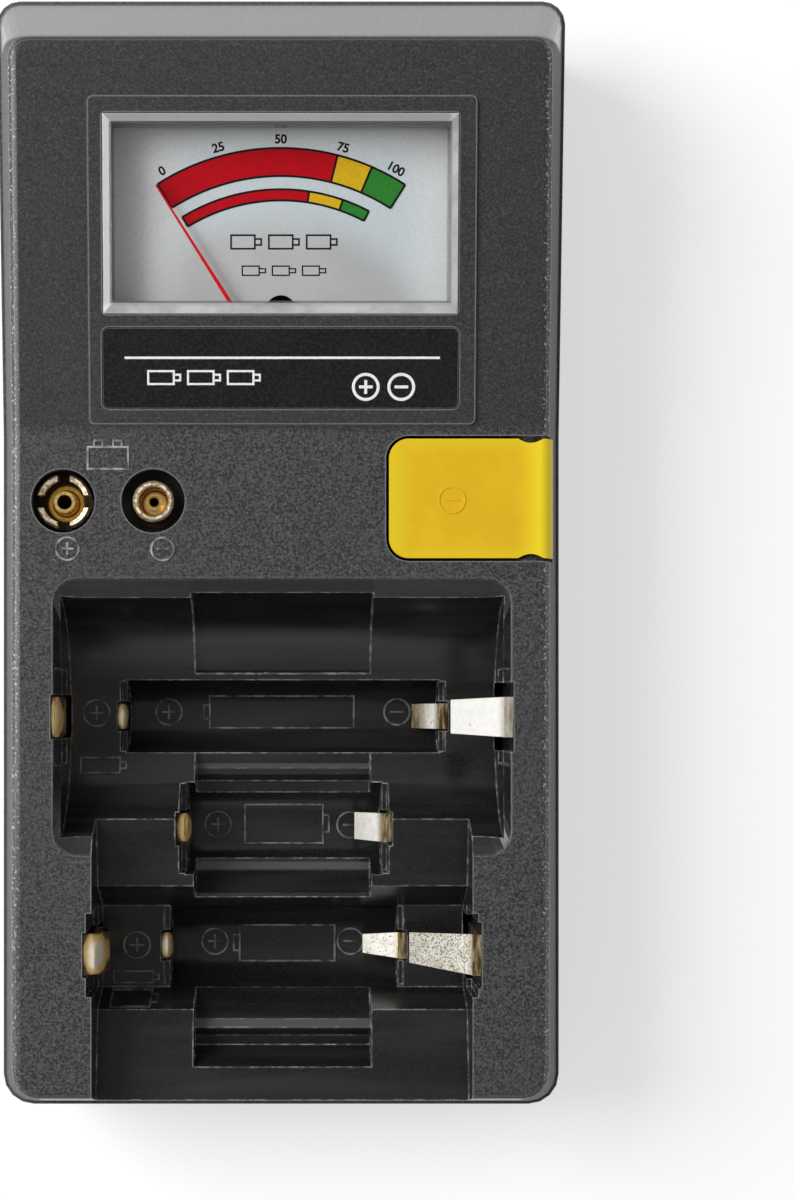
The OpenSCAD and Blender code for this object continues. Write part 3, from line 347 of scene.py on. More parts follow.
def lens_finish():
    """Clear acrylic with a pale border, painted highlights on its right and lower sides and edges,
    and a dark line inside.
    """
    f = Finish("lens_clear", (0.9, 0.92, 0.93), 0.06, Specular_IOR_Level=0.4)
    side = f.math("ABSOLUTE", f.x())
    run = f.up_slope()

    def middle(grown):
        return f.both(
            f.inside(side, -1, LENS_INNER_X + grown, 0.1),
            f.inside(run, LENS_INNER_LOW - grown, LENS_INNER_HIGH + grown, 0.1),
        )

    centre, line_in = middle(0), middle(LENS_LINE)
    line = f.both(line_in, f.inverse(centre))
    # Painted highlight: the border is lighter on its right and lower sides.
    lower = f.spread(run, LENS_INNER_LOW, LENS_INNER_LOW - 1)
    bright = f.either(f.spread(f.x(), 23.4, 24.3), lower)
    border = f.mix(bright, (0.40, 0.40, 0.405), (0.85, 0.85, 0.85))
    cloud = f.spread(f.noise(1.6, 3, (0.5, 0.5, 1)), 0.35, 0.7, 0, 0.6)
    border = f.mix(cloud, border, (0.44, 0.44, 0.44))
    # Painted highlight along the border's outer edges.
    border = f.mix(f.both(f.edges(0.35), f.inverse(line_in)), border, (0.95, 0.95, 0.95))
    border = f.mix(line, border, (0.10, 0.10, 0.105))
    f.set("Base Color", f.mix(centre, border, (0.04, 0.045, 0.05)))
    f.set("Alpha", f.blend(centre, f.blend(line, 0.72, 0.5), f.grazing(0.015, 0.35)))
    f.set("Roughness", f.spread(f.noise(9, 2), 0.3, 0.7, 0.05, 0.1))
    return f


def dial_finish():
    """Silvery printed card, cooler round the scale, and made paler near three of its edges by
    painted light.
    """
    f = Finish("dial_print", (0.45, 0.47, 0.48), 0.4, Specular_IOR_Level=0.3)
    reach = f.along(SLOPE_ALONG, SLOPE_START + SLOPE_ALONG * PIVOT)
    glow = f.inside(f.distance(f.x(), reach), 28.5, 32.5, 11.0)
    card = f.mix(f.spread(f.noise(15, 3), 0.3, 0.7), (0.5, 0.505, 0.51), (0.58, 0.585, 0.59))
    card = f.mix(f.spread(glow, 0, 1, 0, 0.8), card, (0.68, 0.77, 0.8))
    # Painted light: the card is paler towards its left, top and right edges.
    card = f.mix(f.spread(f.x(), -11, -21), card, (0.95, 0.95, 0.95))
    card = f.mix(f.spread(f.up_slope(), 37, 42, 0, 0.8), card, (0.9, 0.92, 0.93))
    card = f.mix(f.spread(f.x(), 15, 23, 0, 0.8), card, (0.84, 0.85, 0.85))
    fine = f.spread(f.noise(0.4, 1), 0.3, 0.7, 0, 0.14)
    f.set("Base Color", f.mix(fine, card, (0.38, 0.39, 0.4)))
    f.bump(f.noise(0.4, 1), 0.01, 0.3)
    return f


def metal_finish(name, light, dark, rough, grain, stretch=(1, 1, 1)):
    """Plated or brushed metal whose tone and gloss drift between two values."""
    f = Finish(name, light, rough[0], 1.0)
    fine = f.noise(grain, 3, stretch)
    wide = f.noise(grain * 7, 2)
    tone = f.mix(f.spread(fine, 0.35, 0.65), dark, light)
    f.set("Base Color", f.mix(f.spread(wide, 0.4, 0.75, 0, 0.35), tone, dark))
    f.set("Roughness", f.spread(fine, 0.3, 0.7, *rough))
    f.bump(fine, 0.02, 0.4)
    return f


# A snap's rings, from its middle outwards: the end of its bore, its bright ring, its groove.
SNAP_BORE = 0.8
SNAP_RING = (1.0, 1.4)
SNAP_GROOVE = (1.75, 1.95)
# How far under a snap's rim its dark base lies.
SNAP_BASE = 3.6


def snap_finish(name, node, rim_r):
    """Plated snap: pale rim, golden cup, bright inner ring, brown bore and dark base."""
    f = Finish(name, (0.8, 0.6, 0.3), 0.22, 1.0)
    low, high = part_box(node)
    middle = (low + high) / 2 / MM
    across = f.math("SUBTRACT", f.x(), middle.x)
    down = f.math("SUBTRACT", f.y(), middle.y)
    radius = f.distance(across, down)
    fine = f.noise(0.5, 3)
    rise = f.math("SUBTRACT", f.z(), high.z / MM)
    cup = f.mix(f.spread(fine, 0.3, 0.7), (0.7, 0.34, 0.05), (0.95, 0.56, 0.12))
    tone = f.mix(f.inside(radius, *SNAP_RING, 0.12), cup, (1.0, 0.74, 0.3))
    tone = f.mix(f.inside(radius, *SNAP_GROOVE, 0.12), tone, (0.22, 0.09, 0.02))
    pale = f.mix(f.spread(fine, 0.38, 0.62, 0, 0.85), (0.92, 0.81, 0.64), (0.36, 0.24, 0.11))
    rim = f.spread(radius, rim_r - 0.15, rim_r)
    tone = f.mix(rim, tone, pale)
    base = f.both(f.spread(rise, -SNAP_BASE, -SNAP_BASE - 0.4), f.spread(radius, 2.3, 2.7))
    tone = f.mix(base, tone, (0.05, 0.032, 0.018))
    bore = f.spread(radius, SNAP_BORE, SNAP_BORE - 0.15)
    f.set("Base Color", f.mix(bore, tone, (0.6, 0.24, 0.06)))
    f.set("Roughness", f.blend(rim, f.spread(fine, 0.3, 0.7, 0.16, 0.32), 0.55))
    f.bump(fine, 0.02, 0.4)
    return f


def leaf_finish(name, speckle, tip_shade, dull_root):
    """Nickel-plated spring strip, tarnished at its root, along its edges and in its specks, with
    painted shade on its tip.
    """
    metallic = 0.06 + 0.3 * speckle
    f = Finish(name, (0.95, 0.93, 0.88), 0.3, metallic, Specular_IOR_Level=0.7)
    low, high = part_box(name)
    fleck = f.noise(0.3, 3, (0.8, 1, 1), 0.7)
    brushed = f.noise(0.9, 2, (0.15, 1, 1))
    plate = f.mix(f.spread(brushed, 0.3, 0.7), (0.93, 0.92, 0.87), (0.99, 0.985, 0.96))
    specks = f.spread(fleck, 0.66 - 0.2 * speckle, 0.72 - 0.16 * speckle)
    clouded = f.spread(f.noise(1.5, 2), 0.42, 0.66, 0.0, 0.65 * speckle)
    plate = f.mix(clouded, plate, (0.68, 0.64, 0.47))
    brown = f.mix(f.spread(fleck, 0.5, 0.64), (0.55, 0.49, 0.34), (0.15, 0.12, 0.07))
    plate = f.mix(specks, plate, brown)
    plate = f.mix(f.math("MULTIPLY", f.edges(0.3), 0.5), plate, (0.7, 0.53, 0.26))
    root = f.spread(f.x(), high.x / MM - 1.5, high.x / MM - 0.4, 0.0, dull_root)
    # Painted shade: the tip turns darker where it bends down into the trough.
    tip = f.spread(f.x(), low.x / MM + 0.4, low.x / MM + 2.9, tip_shade, 0.0)
    streak = f.spread(f.noise(0.7, 2, (1, 0.2, 1)), 0.4, 0.6)
    golden = f.mix(streak, (0.62, 0.47, 0.22), (0.22, 0.14, 0.05))
    tarnish_and_tip_shade = f.either(root, tip)
    f.set("Base Color", f.mix(tarnish_and_tip_shade, plate, golden))
    f.set("Metallic", f.blend(tarnish_and_tip_shade, metallic, 0.85))
    f.set("Roughness", f.blend(specks, 0.24, 0.42))
    f.bump(f.blend(specks, 0.5, fleck), 0.02, 0.4)
    return f


def contact_finish(name, pale):
    """Gold-flashed bowed contact, with a pale painted highlight on the crest of its bow and
    painted shade at its edges.
    """
    f = Finish(name, (1.0, 0.84, 0.56), 0.2, 0.45, Specular_IOR_Level=0.9)
    low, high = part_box(name)
    reach = f.noise(1.2, 2, (1, 0.5, 1))
    for place, start, end in ((f.x(), low.x, high.x), (f.y(), low.y, high.y)):
        away = f.math("SUBTRACT", place, (start + end) / 2 / MM)
        away = f.math("MULTIPLY", away, 2 * MM / (end - start))
        reach = f.math("ADD", reach, f.math("MULTIPLY", away, away))
    # Painted highlight on the crest, gold flash round it, and painted shade that turns the far
    # edges dark brown.
    tone = f.mix(f.spread(reach, 0.7, 1.25), pale, (0.72, 0.46, 0.16))
    tone = f.mix(f.spread(reach, 1.25, 1.7), tone, (0.07, 0.035, 0.012))
    f.set("Base Color", tone)
    f.set("Roughness", f.spread(reach, 0.7, 1.6, 0.16, 0.5))
    f.bump(f.noise(0.6, 2), 0.02, 0.4)
    return f


def paint_finish(name, color, roughness, lift, grain=0.4, depth=0.01, gloss=0.3):
    """Printed, painted or moulded colour with a faint mottle, up to lift times as light."""
    f = Finish(name, color, roughness, Specular_IOR_Level=gloss)
    fine = f.noise(grain, 3)
    pale = tuple(min(1, c * lift) for c in color)
    f.set("Base Color", f.mix(f.spread(fine, 0.3, 0.7), color, pale))
    f.set("Roughness", f.spread(fine, 0.3, 0.7, roughness, min(1, roughness + 0.12)))
    f.bump(fine, depth, 0.4)
    return f


def mark_finish(name, dark, light):
    """Raised moulded lines, with broken glints painted into their colour."""
    f = Finish(name, dark, 0.25, Specular_IOR_Level=0.5)
    glint = f.noise(1.9, 2)
    # Painted glints: patches of the lines painted light.
    f.set("Base Color", f.mix(f.spread(glint, 0.3, 0.7), dark, light))
    f.set("Roughness", f.spread(glint, 0.3, 0.7, 0.2, 0.35))
    f.bump(f.noise(0.4, 2), 0.03, 0.5)
    return f


def label_finish():
    """Gloss black plate with a soft sheen and a painted highlight along its edges."""
    f = Finish("label_print", (0.02, 0.02, 0.021), 0.2, Specular_IOR_Level=0.25)
    fine = f.noise(0.45, 3)
    wide = f.noise(7, 2)
    tone = f.mix(f.spread(fine, 0.35, 0.7), (0.007, 0.007, 0.0075), (0.016, 0.016, 0.017))
    tone = f.mix(f.spread(wide, 0.4, 0.8, 0, 0.4), tone, (0.02, 0.02, 0.021))
    # Painted highlight along the plate's edges.
    f.set("Base Color", f.mix(f.math("MULTIPLY", f.edges(0.22), 0.8), tone, (0.24, 0.24, 0.245)))
    f.set("Roughness", f.spread(fine, 0.3, 0.7, 0.2, 0.32))
    f.bump(fine, 0.012, 0.35)
    return f


def flap_finish():
    """Yellow moulding, paler towards its tail and its free edge."""
    f = Finish("flap_yellow", (0.74, 0.46, 0.02), 0.35, Specular_IOR_Level=0.3)
    low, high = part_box("button_cell_flap")
    x = f.x()
    tail = f.spread(x, high.x / MM - 6, high.x / MM - 0.5)
    free = f.spread(x, low.x / MM + 4, low.x / MM + 0.4)
    across = f.math("ABSOLUTE", f.math("SUBTRACT", f.y(), (low.y + high.y) / 2 / MM))
    rim = f.spread(across, 6.0, 8.3)
    body = f.mix(f.spread(f.noise(5, 2), 0.35, 0.7), (0.77, 0.47, 0.009), (0.81, 0.51, 0.012))
    body = f.mix(f.either(free, f.math("MULTIPLY", rim, 0.8)), body, (0.80, 0.58, 0.012))
    body = f.mix(tail, body, (1.0, 0.76, 0.02))
    f.set("Base Color", body)
    f.set("Roughness", f.spread(f.noise(0.5, 2), 0.3, 0.7, 0.3, 0.42))
    f.bump(f.noise(0.6, 2), 0.015, 0.35)
    return f


# How fast the board's tracks and the resistors' bands repeat, per millimetre.
TRACK_TURNS = 2.2
BAND_TURNS = 0.55


def board_finish():
    """Green laminate with copper tracks under the resist."""
    f = Finish("board_green", (0.03, 0.16, 0.07), 0.35, Specular_IOR_Level=0.5)
    tracks = f.math("SINE", f.math("MULTIPLY", f.y(), TRACK_TURNS))
    copper = f.both(f.spread(tracks, 0.5, 0.6), f.spread(f.noise(8, 0), 0.45, 0.5))
    weave = f.mix(f.spread(f.noise(0.6, 3), 0.3, 0.7), (0.022, 0.13, 0.055), (0.035, 0.18, 0.08))
    f.set("Base Color", f.mix(copper, weave, (0.1, 0.24, 0.08)))
    f.bump(copper, 0.03, 0.5)
    return f


def resistor_finish():
    """Tan bodies with coloured bands, and tinned leads."""
    f = Finish("resistor_body", (0.6, 0.48, 0.3), 0.35)
    bands = f.math("FRACT", f.math("MULTIPLY", f.x(), BAND_TURNS))
    body = f.mix(f.spread(f.noise(0.7, 2), 0.3, 0.7), (0.55, 0.43, 0.26), (0.66, 0.54, 0.36))
    f.set("Base Color", f.mix(f.inside(bands, 0.35, 0.5, 0.03), body, (0.16, 0.05, 0.02)))
    f.bump(f.noise(0.4, 2), 0.02, 0.4)
    return f


case = case_finish()
steel = metal_finish("screw_steel", (0.62, 0.63, 0.65), (0.42, 0.43, 0.45), (0.28, 0.42), 0.35)
meter_black = paint_finish("meter_black", (0.02, 0.02, 0.02), roughness=0.5, lift=1.6, depth=0.03)
ferrite = paint_finish(
    "magnet_ferrite", (0.09, 0.09, 0.095), roughness=0.6, grain=0.3, lift=1.6, depth=0.05
)
iron = metal_finish(
    "core_iron", (0.5, 0.51, 0.53), (0.36, 0.37, 0.39), (0.3, 0.45), 0.3, (1, 1, 0.1)
)
brass = metal_finish("bridge_brass", (0.72, 0.55, 0.26), (0.5, 0.36, 0.14), (0.25, 0.4), 0.5)
copper = metal_finish(
    "coil_copper", (0.66, 0.3, 0.15), (0.35, 0.14, 0.07), (0.3, 0.45), 0.12, (0.1, 1, 1)
)
bronze = metal_finish("hair_bronze", (0.66, 0.46, 0.22), (0.45, 0.3, 0.13), (0.25, 0.35), 0.3)
mark = mark_finish("raised_mark", (0.05, 0.05, 0.052), (0.42, 0.42, 0.43))
faint_mark = mark_finish("faint_mark", (0.03, 0.03, 0.031), (0.2, 0.2, 0.205))
laminate = paint_finish("snap_board", (0.02, 0.017, 0.014), roughness=0.45, lift=1.8, depth=0.03)
nickel = metal_finish("contact_nickel", (0.86, 0.84, 0.78), (0.55, 0.5, 0.38), (0.2, 0.4), 0.6)
anchor = metal_finish(
    "anchor_gilt", (0.9, 0.74, 0.42), (0.2, 0.12, 0.045), (0.2, 0.4), 0.5, (1, 0.15, 1)
)
pale_anchor = metal_finish(
    "anchor_pale", (1.0, 0.96, 0.86), (0.66, 0.53, 0.32), (0.2, 0.4), 0.5, (1, 0.15, 1)
)
pin = metal_finish(
    "pin_steel", (0.64, 0.65, 0.67), (0.45, 0.46, 0.48), (0.2, 0.35), 0.3, (1, 0.1, 1)
)
needle_red = paint_finish(
    "needle_red", (0.62, 0.006, 0.014), roughness=0.3, grain=0.6, lift=1.12, gloss=0.15
)
flap_yellow = flap_finish()

NODE_FINISHES = {
    case: ("front_case", "back_case"),
    steel: ("case_screws",),
    lens_finish(): ("meter_lens",),
    label_finish(): ("label_plate",),
    dial_finish(): ("dial_plate",),
    meter_black: ("meter_housing",),
    ferrite: ("meter_magnet",),
    iron: ("meter_core",),
    brass: ("meter_bridge", "jewel_screws"),
    needle_red: ("needle",),
    copper: ("moving_coil",),
    bronze: ("hairspring",),
    snap_finish("socket_brass", "nine_volt_socket", 2.75): ("nine_volt_socket",),
    snap_finish("stud_brass", "nine_volt_stud", 2.15): ("nine_volt_stud",),
    laminate: ("snap_board",),
    nickel: ("flap_contact", "button_cell_contact"),
    flap_yellow: ("button_cell_flap",),
    pin: ("flap_pin", "flap_spring"),
    board_finish(): ("circuit_board",),
    resistor_finish(): ("load_resistors",),
}

for finish, names in NODE_FINISHES.items():
    for name in names:
        finish.give(frame["nodes"][name])

# The colours of the painted highlight on each contact's crest.
CREAM_HIGHLIGHT, GOLD_HIGHLIGHT, OLD_GOLD_HIGHLIGHT = (1.0, 0.92, 0.7), (0.95, 0.74, 0.36), (0.72, 0.5, 0.2)
CONTACTS = {
    # how specked the leaf is, how much painted shade darkens its tip, how tarnished its root is,
    # its anchor, the colour of the painted highlight on the contact's crest
    "d": (0.08, 0.0, 0.4, pale_anchor, GOLD_HIGHLIGHT),
    "aaa": (0.5, 0.85, 0.9, anchor, CREAM_HIGHLIGHT),
    "six_volt": (0.3, 0.15, 0.9, anchor, OLD_GOLD_HIGHLIGHT),
    "c_aa": (0.95, 0.0, 0.7, anchor, CREAM_HIGHLIGHT),
    "n": (0.6, 0.1, 0.9, anchor, CREAM_HIGHLIGHT),
}
for cell, (speckle, tip_shade, dull_root, held_by, crest) in CONTACTS.items():
    node = f"{cell}_negative_leaf"
    leaf_finish(node, speckle, tip_shade, dull_root).give(frame["nodes"][node])
    held_by.give(frame["nodes"][f"{cell}_negative_anchor"])
    node = f"{cell}_positive_contact"
    contact_finish(node, crest).give(frame["nodes"][node])


# ---------- softened edges ----------

# How close corners are welded, and from which angle on an edge is sharp.
WELD = 0.002
SHARP = math.radians(35)


def soften(name, width):
    """Rounds a node's sharp edges a little."""
    node = frame["nodes"][name]
    weld = node.modifiers.new("weld", "WELD")
    weld.merge_threshold = WELD * MM
    bevel = node.modifiers.new("bevel", "BEVEL")
    bevel.width = width * MM
    bevel.segments = 2
    bevel.limit_method = "ANGLE"
    bevel.angle_limit = SHARP
    bevel.use_clamp_overlap = True
    normals = node.modifiers.new("normals", "WEIGHTED_NORMAL")
    normals.keep_sharp = True


SOFT_EDGES = {
    "front_case": 0.16,
    "back_case": 0.2,
    "button_cell_flap": 0.12,
    "meter_lens": 0.08,
    "label_plate": 0.08,
}
for name, width in SOFT_EDGES.items():
    soften(name, width)


# ---------- printed and raised marks ----------


def surface_of(node):
    """A node's mesh, ready for points to fall on."""
    data = frame["nodes"][node].data
    corners = [v.co.copy() for v in data.vertices]
    return BVHTree.FromPolygons(corners, [tuple(p.vertices) for p in data.polygons])


DOWN = Vector((0, 0, -1))
# Where points start to fall from, above the whole part.
DROP_Z = 40.0


def dropped_on(surface):
    """A carrier: a flat point (x, y) falls on the surface, then stands up by a height."""

    def place(x, y, up):
        hit = surface.ray_cast(Vector((x, y, DROP_Z)) * MM, DOWN)[0]
        return Vector((x * MM, y * MM, hit.z + up * MM))

    return place


def laid_at(level):
    """A carrier on the sloping section, level millimetres off the sloping face."""

    def place(x, along, up):
        return on_slope(x, along, level + up)

    return place


# A stroke's points stand STEP apart, its foot is sunk by SINK, and its corners reach no further
# than MITRE half widths.
STEP = 0.5
SINK = 0.05
MITRE = 1.42


def resampled(points):
    """The same line with a point about every STEP millimetres."""
    result = [Vector(points[0])]
    for start, end in zip(points, points[1:]):
        start, end = Vector(start), Vector(end)
        count = max(1, round((end - start).length / STEP))
        result += [start.lerp(end, (i + 1) / count) for i in range(count)]
    return result


def stroke(mesh, place, points, width, height, closed=False, crown=0.75):
    """Adds a raised line along flat points to a bmesh; its top is crown of its foot's width."""
    path = resampled(list(points) + ([points[0]] if closed else []))
    if closed:
        path.pop()
    count = len(path)
    rings = []
    for i, point in enumerate(path):
        before = path[i - 1] if closed or i else path[i]
        after = path[(i + 1) % count] if closed or i < count - 1 else path[i]
        direction = (after - before).normalized()
        if closed or 0 < i < count - 1:
            turn = (point - before).normalized().dot((after - point).normalized())
            reach = min(MITRE, 1 / math.sqrt(max(0.25, (1 + turn) / 2)))
        else:
            reach = 1
        across = Vector((-direction.y, direction.x)) * width / 2 * reach
        section = ((1, -SINK), (1, 0), (crown, height), (-crown, height), (-1, 0), (-1, -SINK))
        flat = [(point + across * share, up) for share, up in section]
        rings.append([mesh.verts.new(place(p.x, p.y, up)) for p, up in flat])
    pairs = list(zip(rings, rings[1:]))
    if closed:
        pairs.append((rings[-1], rings[0]))
    for first, second in pairs:
        for k in range(len(first)):
            n = (k + 1) % len(first)
            mesh.faces.new((first[k], first[n], second[n], second[k]))
    if not closed:
        mesh.faces.new(list(reversed(rings[0])))
        mesh.faces.new(rings[-1])


def arc(radius, start, end, middle=(0, 0), count=40):
    """Points of an arc; angles in degrees, clockwise from the Y axis."""
    turns = [math.radians(start + (end - start) * i / count) for i in range(count + 1)]
    return [(middle[0] + radius * math.sin(t), middle[1] + radius * math.cos(t)) for t in turns]


# The arm of a plus or minus sign, as a share of its ring's radius.
ARM_SHARE = 0.55


def ring_mark(mesh, place, middle, radius, sign, width, height):
    """A ring round a plus or a minus sign."""
    x, y = middle
    arm = radius * ARM_SHARE
    stroke(mesh, place, arc(radius, 0, 360, middle)[:-1], width, height, closed=True)
    stroke(mesh, place, [(x - arm, y), (x + arm, y)], width, height)
    if sign == "+":
        for way in (-1, 1):
            stroke(mesh, place, [(x, y + way * width / 2), (x, y + way * arm)], width, height)


# A cell's nub: how far it stands out, and half its width as a share of the cell's.
NUB_OUT = 0.9
NUB_SHARE = 0.22


def cell_outline(mesh, place, box, nub, width, height):
    """The outline of a cell lying on its side, with its nub on the side that nub says."""
    left, low, right, high = box
    corners = [(left, low), (right, low), (right, high), (left, high)]
    stroke(mesh, place, corners, width, height, closed=True)
    edge, tip = (right, right + NUB_OUT) if nub == "right" else (left, left - NUB_OUT)
    middle, half = (low + high) / 2, (high - low) * NUB_SHARE
    foot, top = middle - half, middle + half
    stroke(mesh, place, [(edge, foot), (tip, foot), (tip, top), (edge, top)], width, height)


def plate(mesh, place, outline, height):
    """Adds a thin flat plate with a convex outline to a bmesh."""
    low = [mesh.verts.new(place(x, y, 0)) for x, y in outline]
    high = [mesh.verts.new(place(x, y, height)) for x, y in outline]
    mesh.faces.new(low)
    mesh.faces.new(high)
    for i in range(len(outline)):
        n = (i + 1) % len(outline)
        mesh.faces.new((low[i], low[n], high[n], high[i]))


def piece(name, mesh, finish, body):
    """Turns a bmesh into a named piece that rides on a body."""
    bmesh.ops.recalc_face_normals(mesh, faces=mesh.faces)
    data = bpy.data.meshes.new(name)
    mesh.to_mesh(data)
    mesh.free()
    obj = bpy.data.objects.new(name, data)
    bpy.context.scene.collection.objects.link(obj)
    finish.give(obj)
    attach(obj, body)
    return obj


# ---------- dial scale ----------


def ink_finish(name, color):
    """Flat printing ink."""
    return paint_finish(name, color, roughness=0.5, grain=0.5, lift=1.15, gloss=0.08)


ink_black = ink_finish("ink_black", (0.008, 0.008, 0.009))
ink_red = ink_finish("ink_red", (0.5, 0.003, 0.01))
ink_yellow = ink_finish("ink_yellow", (0.72, 0.44, 0.012))
ink_green = ink_finish("ink_green", (0.03, 0.22, 0.03))
ink_white = ink_finish("ink_white", (0.8, 0.8, 0.79))

# How thick the ink stands, and the width of the scale's outlines.
INK = 0.03
SCALE_LINE = 0.3
SCALE_BANDS = (
    # outer radius, inner radius, start, red to yellow, yellow to green, end
    (33.07, 29.17, -32.1, 14.15, 23.1, 32.4),
    (27.29, 25.75, -31.0, 8.5, 18.9, 27.4),
)
on_dial = laid_at(DIAL_UP)
pivot_point = (0, PIVOT)

SCALE_INKS = (("red", ink_red), ("yellow", ink_yellow), ("green", ink_green))
for band, (name, ink) in enumerate(SCALE_INKS):
    mesh = bmesh.new()
    for outer, inner, *stops in SCALE_BANDS:
        middle = (outer + inner) / 2
        line = arc(middle, stops[band], stops[band + 1], pivot_point)
        stroke(mesh, on_dial, line, outer - inner, INK, crown=1)
    piece(f"scale_{name}", mesh, ink, "case")

mesh = bmesh.new()
on_ink = laid_at(DIAL_UP + INK)
for outer, inner, *stops in SCALE_BANDS:
    for radius in (outer, inner):
        line = arc(radius, stops[0], stops[-1], pivot_point)
        stroke(mesh, on_ink, line, SCALE_LINE, INK, crown=1)
    for stop in stops:
        ends = [arc(radius, stop, stop, pivot_point, 1)[0] for radius in (inner, outer)]
        stroke(mesh, on_ink, ends, SCALE_LINE, INK, crown=1)
piece("scale_outline", mesh, ink_black, "case")

# The numbers' size, how much bolder they are drawn, and how far from the pivot they stand.
NUMBER_SIZE = 1.75
NUMBER_WEIGHT = 0.055
NUMBER_RADIUS = 33.75
# Each number of the scale, and how many degrees it stands from the dial's middle.
NUMBERS = {0: -29.5, 25: -15, 50: 0, 75: 15, 100: 28.5}


def lettering(name, text, size, matrix):
    """The mesh of a plain number, centred on its middle and standing on its foot."""
    curve = bpy.data.curves.new(name, "FONT")
    curve.body = text
    curve.size = size * MM
    curve.extrude = INK / 2 * MM
    curve.offset = NUMBER_WEIGHT * MM
    curve.align_x = "CENTER"
    holder = bpy.data.objects.new(name, curve)
    bpy.context.scene.collection.objects.link(holder)
    bpy.context.view_layer.update()
    graph = bpy.context.evaluated_depsgraph_get()
    data = bpy.data.meshes.new_from_object(holder.evaluated_get(graph))
    bpy.data.objects.remove(holder)
    data.transform(matrix)
    return data


slope_turn = Matrix.Rotation(TILT, 4, "X")
mesh = bmesh.new()
for value, angle in NUMBERS.items():
    turn = math.radians(angle)
    x, along = NUMBER_RADIUS * math.sin(turn), PIVOT + NUMBER_RADIUS * math.cos(turn)
    foot = on_slope(x, along, DIAL_UP)
    matrix = Matrix.Translation(foot) @ slope_turn @ Matrix.Rotation(-turn, 4, "Z")
    data = lettering(f"number_{value}", str(value), NUMBER_SIZE, matrix)
    mesh.from_mesh(data)
    bpy.data.meshes.remove(data)
piece("scale_numbers", mesh, ink_black, "case")


def cell_row(mesh, place, middle, count, cell, gap, width):
    """A row of small cell outlines, (length, height) each."""
    length, height = cell
    total = count * length + (count - 1) * gap
    for i in range(count):
        left = middle[0] - total / 2 + i * (length + gap)
        low = middle[1] - height / 2
        cell_outline(mesh, place, (left, low, left + length, low + height), "right", width, INK)


DIAL_CELLS = (
    # middle of the row, count, size of each, gap, line
    ((0, 26.8), 3, (3.4, 1.9), 2.0, 0.26),
    ((0, 22.75), 3, (2.4, 1.3), 1.9, 0.2),
)
mesh = bmesh.new()
for row in DIAL_CELLS:
    cell_row(mesh, on_dial, *row)
piece("dial_symbols", mesh, ink_black, "case")

# A black plate on the dial round the needle's hub: painted shadow that widens the dark of the
# hub's opening.
HUB_MIDDLE = (0.35, 16.7)
HUB_HALF, HUB_RISE = 5.4, 1.75
mesh = bmesh.new()
hub = [(HUB_MIDDLE[0] + HUB_HALF * x, HUB_MIDDLE[1] + HUB_RISE * y) for x, y in arc(1, -90, 90)]
plate(mesh, on_dial, hub, INK)
piece("hub_shadow", mesh, ink_black, "case")

# ---------- label ----------

LABEL_RULE = ((-21.9, 9.96), (22.4, 9.96))
LABEL_CELLS = ((-11.2, 7.2), 3, (3.6, 1.8), 2.0, 0.3)
LABEL_MARKS = ((12.0, 5.9, "+"), (17.0, 5.9, "-"))
on_label = laid_at(LABEL_UP)
mesh = bmesh.new()
stroke(mesh, on_label, LABEL_RULE, width=0.34, height=INK, crown=1)
piece("label_rule", mesh, ink_white, "case")

mesh = bmesh.new()
cell_row(mesh, on_label, *LABEL_CELLS)
for x, y, sign in LABEL_MARKS:
    ring_mark(mesh, on_label, (x, y), 1.75, sign, width=0.42, height=INK)
piece("label_symbols", mesh, ink_white, "case")

# ---------- raised marks on the moulding ----------

on_case = dropped_on(surface_of("front_case"))
on_flap = dropped_on(surface_of("button_cell_flap"))
RAISED, FLAP_RAISED = 0.14, 0.1
# Polarity signs: the middle of each, and its sign.
TROUGH_MARKS = (
    (-27.4, -23.4, "+"),
    (-17.1, -23.3, "+"),
    (17.44, -23.3, "-"),
    (-9.62, -40.2, "+"),
    (10.3, -40.3, "-"),
    (-10.17, -58.1, "+"),
    (10.4, -58.1, "-"),
    (-21.55, -58.0, "+"),
)
SNAP_MARKS = ((-30.08, -0.14, "+"), (-16.65, -0.19, "-"))
TROUGH_CELLS = (
    # left, low, right and high side, side of the nub, line
    ((-10.9, -25.7, 10.9, -20.9), "left", 0.3),
    ((-5.55, -43.0, 6.2, -37.2), "right", 0.3),
    ((-6.4, -61.0, 8.0, -55.6), "left", 0.3),
    ((-29.6, -32.2, -23.8, -30.0), "right", 0.28),
    ((-25.0, -63.6, -19.2, -61.9), "right", 0.26),
    ((-25.0, -66.2, -19.2, -64.5), "right", 0.26),
)
# The nine volt battery's outline, and its two snaps: their sides, their foot and top.
BLOCK_CELL = ((-27.2, 11.1), (-21.5, 11.1), (-21.5, 14.2), (-27.2, 14.2))
BLOCK_SNAPS = ((-26.3, -25.1), (-23.6, -22.4))
BLOCK_SNAP_Y = (14.3, 15.1)
FLAP_MARK = (24.17, 6.72)

mesh = bmesh.new()
for x, y, sign in TROUGH_MARKS:
    ring_mark(mesh, on_case, (x, y), 1.95, sign, width=0.32, height=RAISED)
piece("trough_signs", mesh, faint_mark, "case")

mesh = bmesh.new()
for x, y, sign in SNAP_MARKS:
    ring_mark(mesh, on_case, (x, y), 1.6, sign, width=0.34, height=RAISED)
piece("snap_signs", mesh, mark, "case")

mesh = bmesh.new()
for box, nub, line in TROUGH_CELLS:
    cell_outline(mesh, on_case, box, nub, line, RAISED)
piece("trough_outlines", mesh, faint_mark, "case")

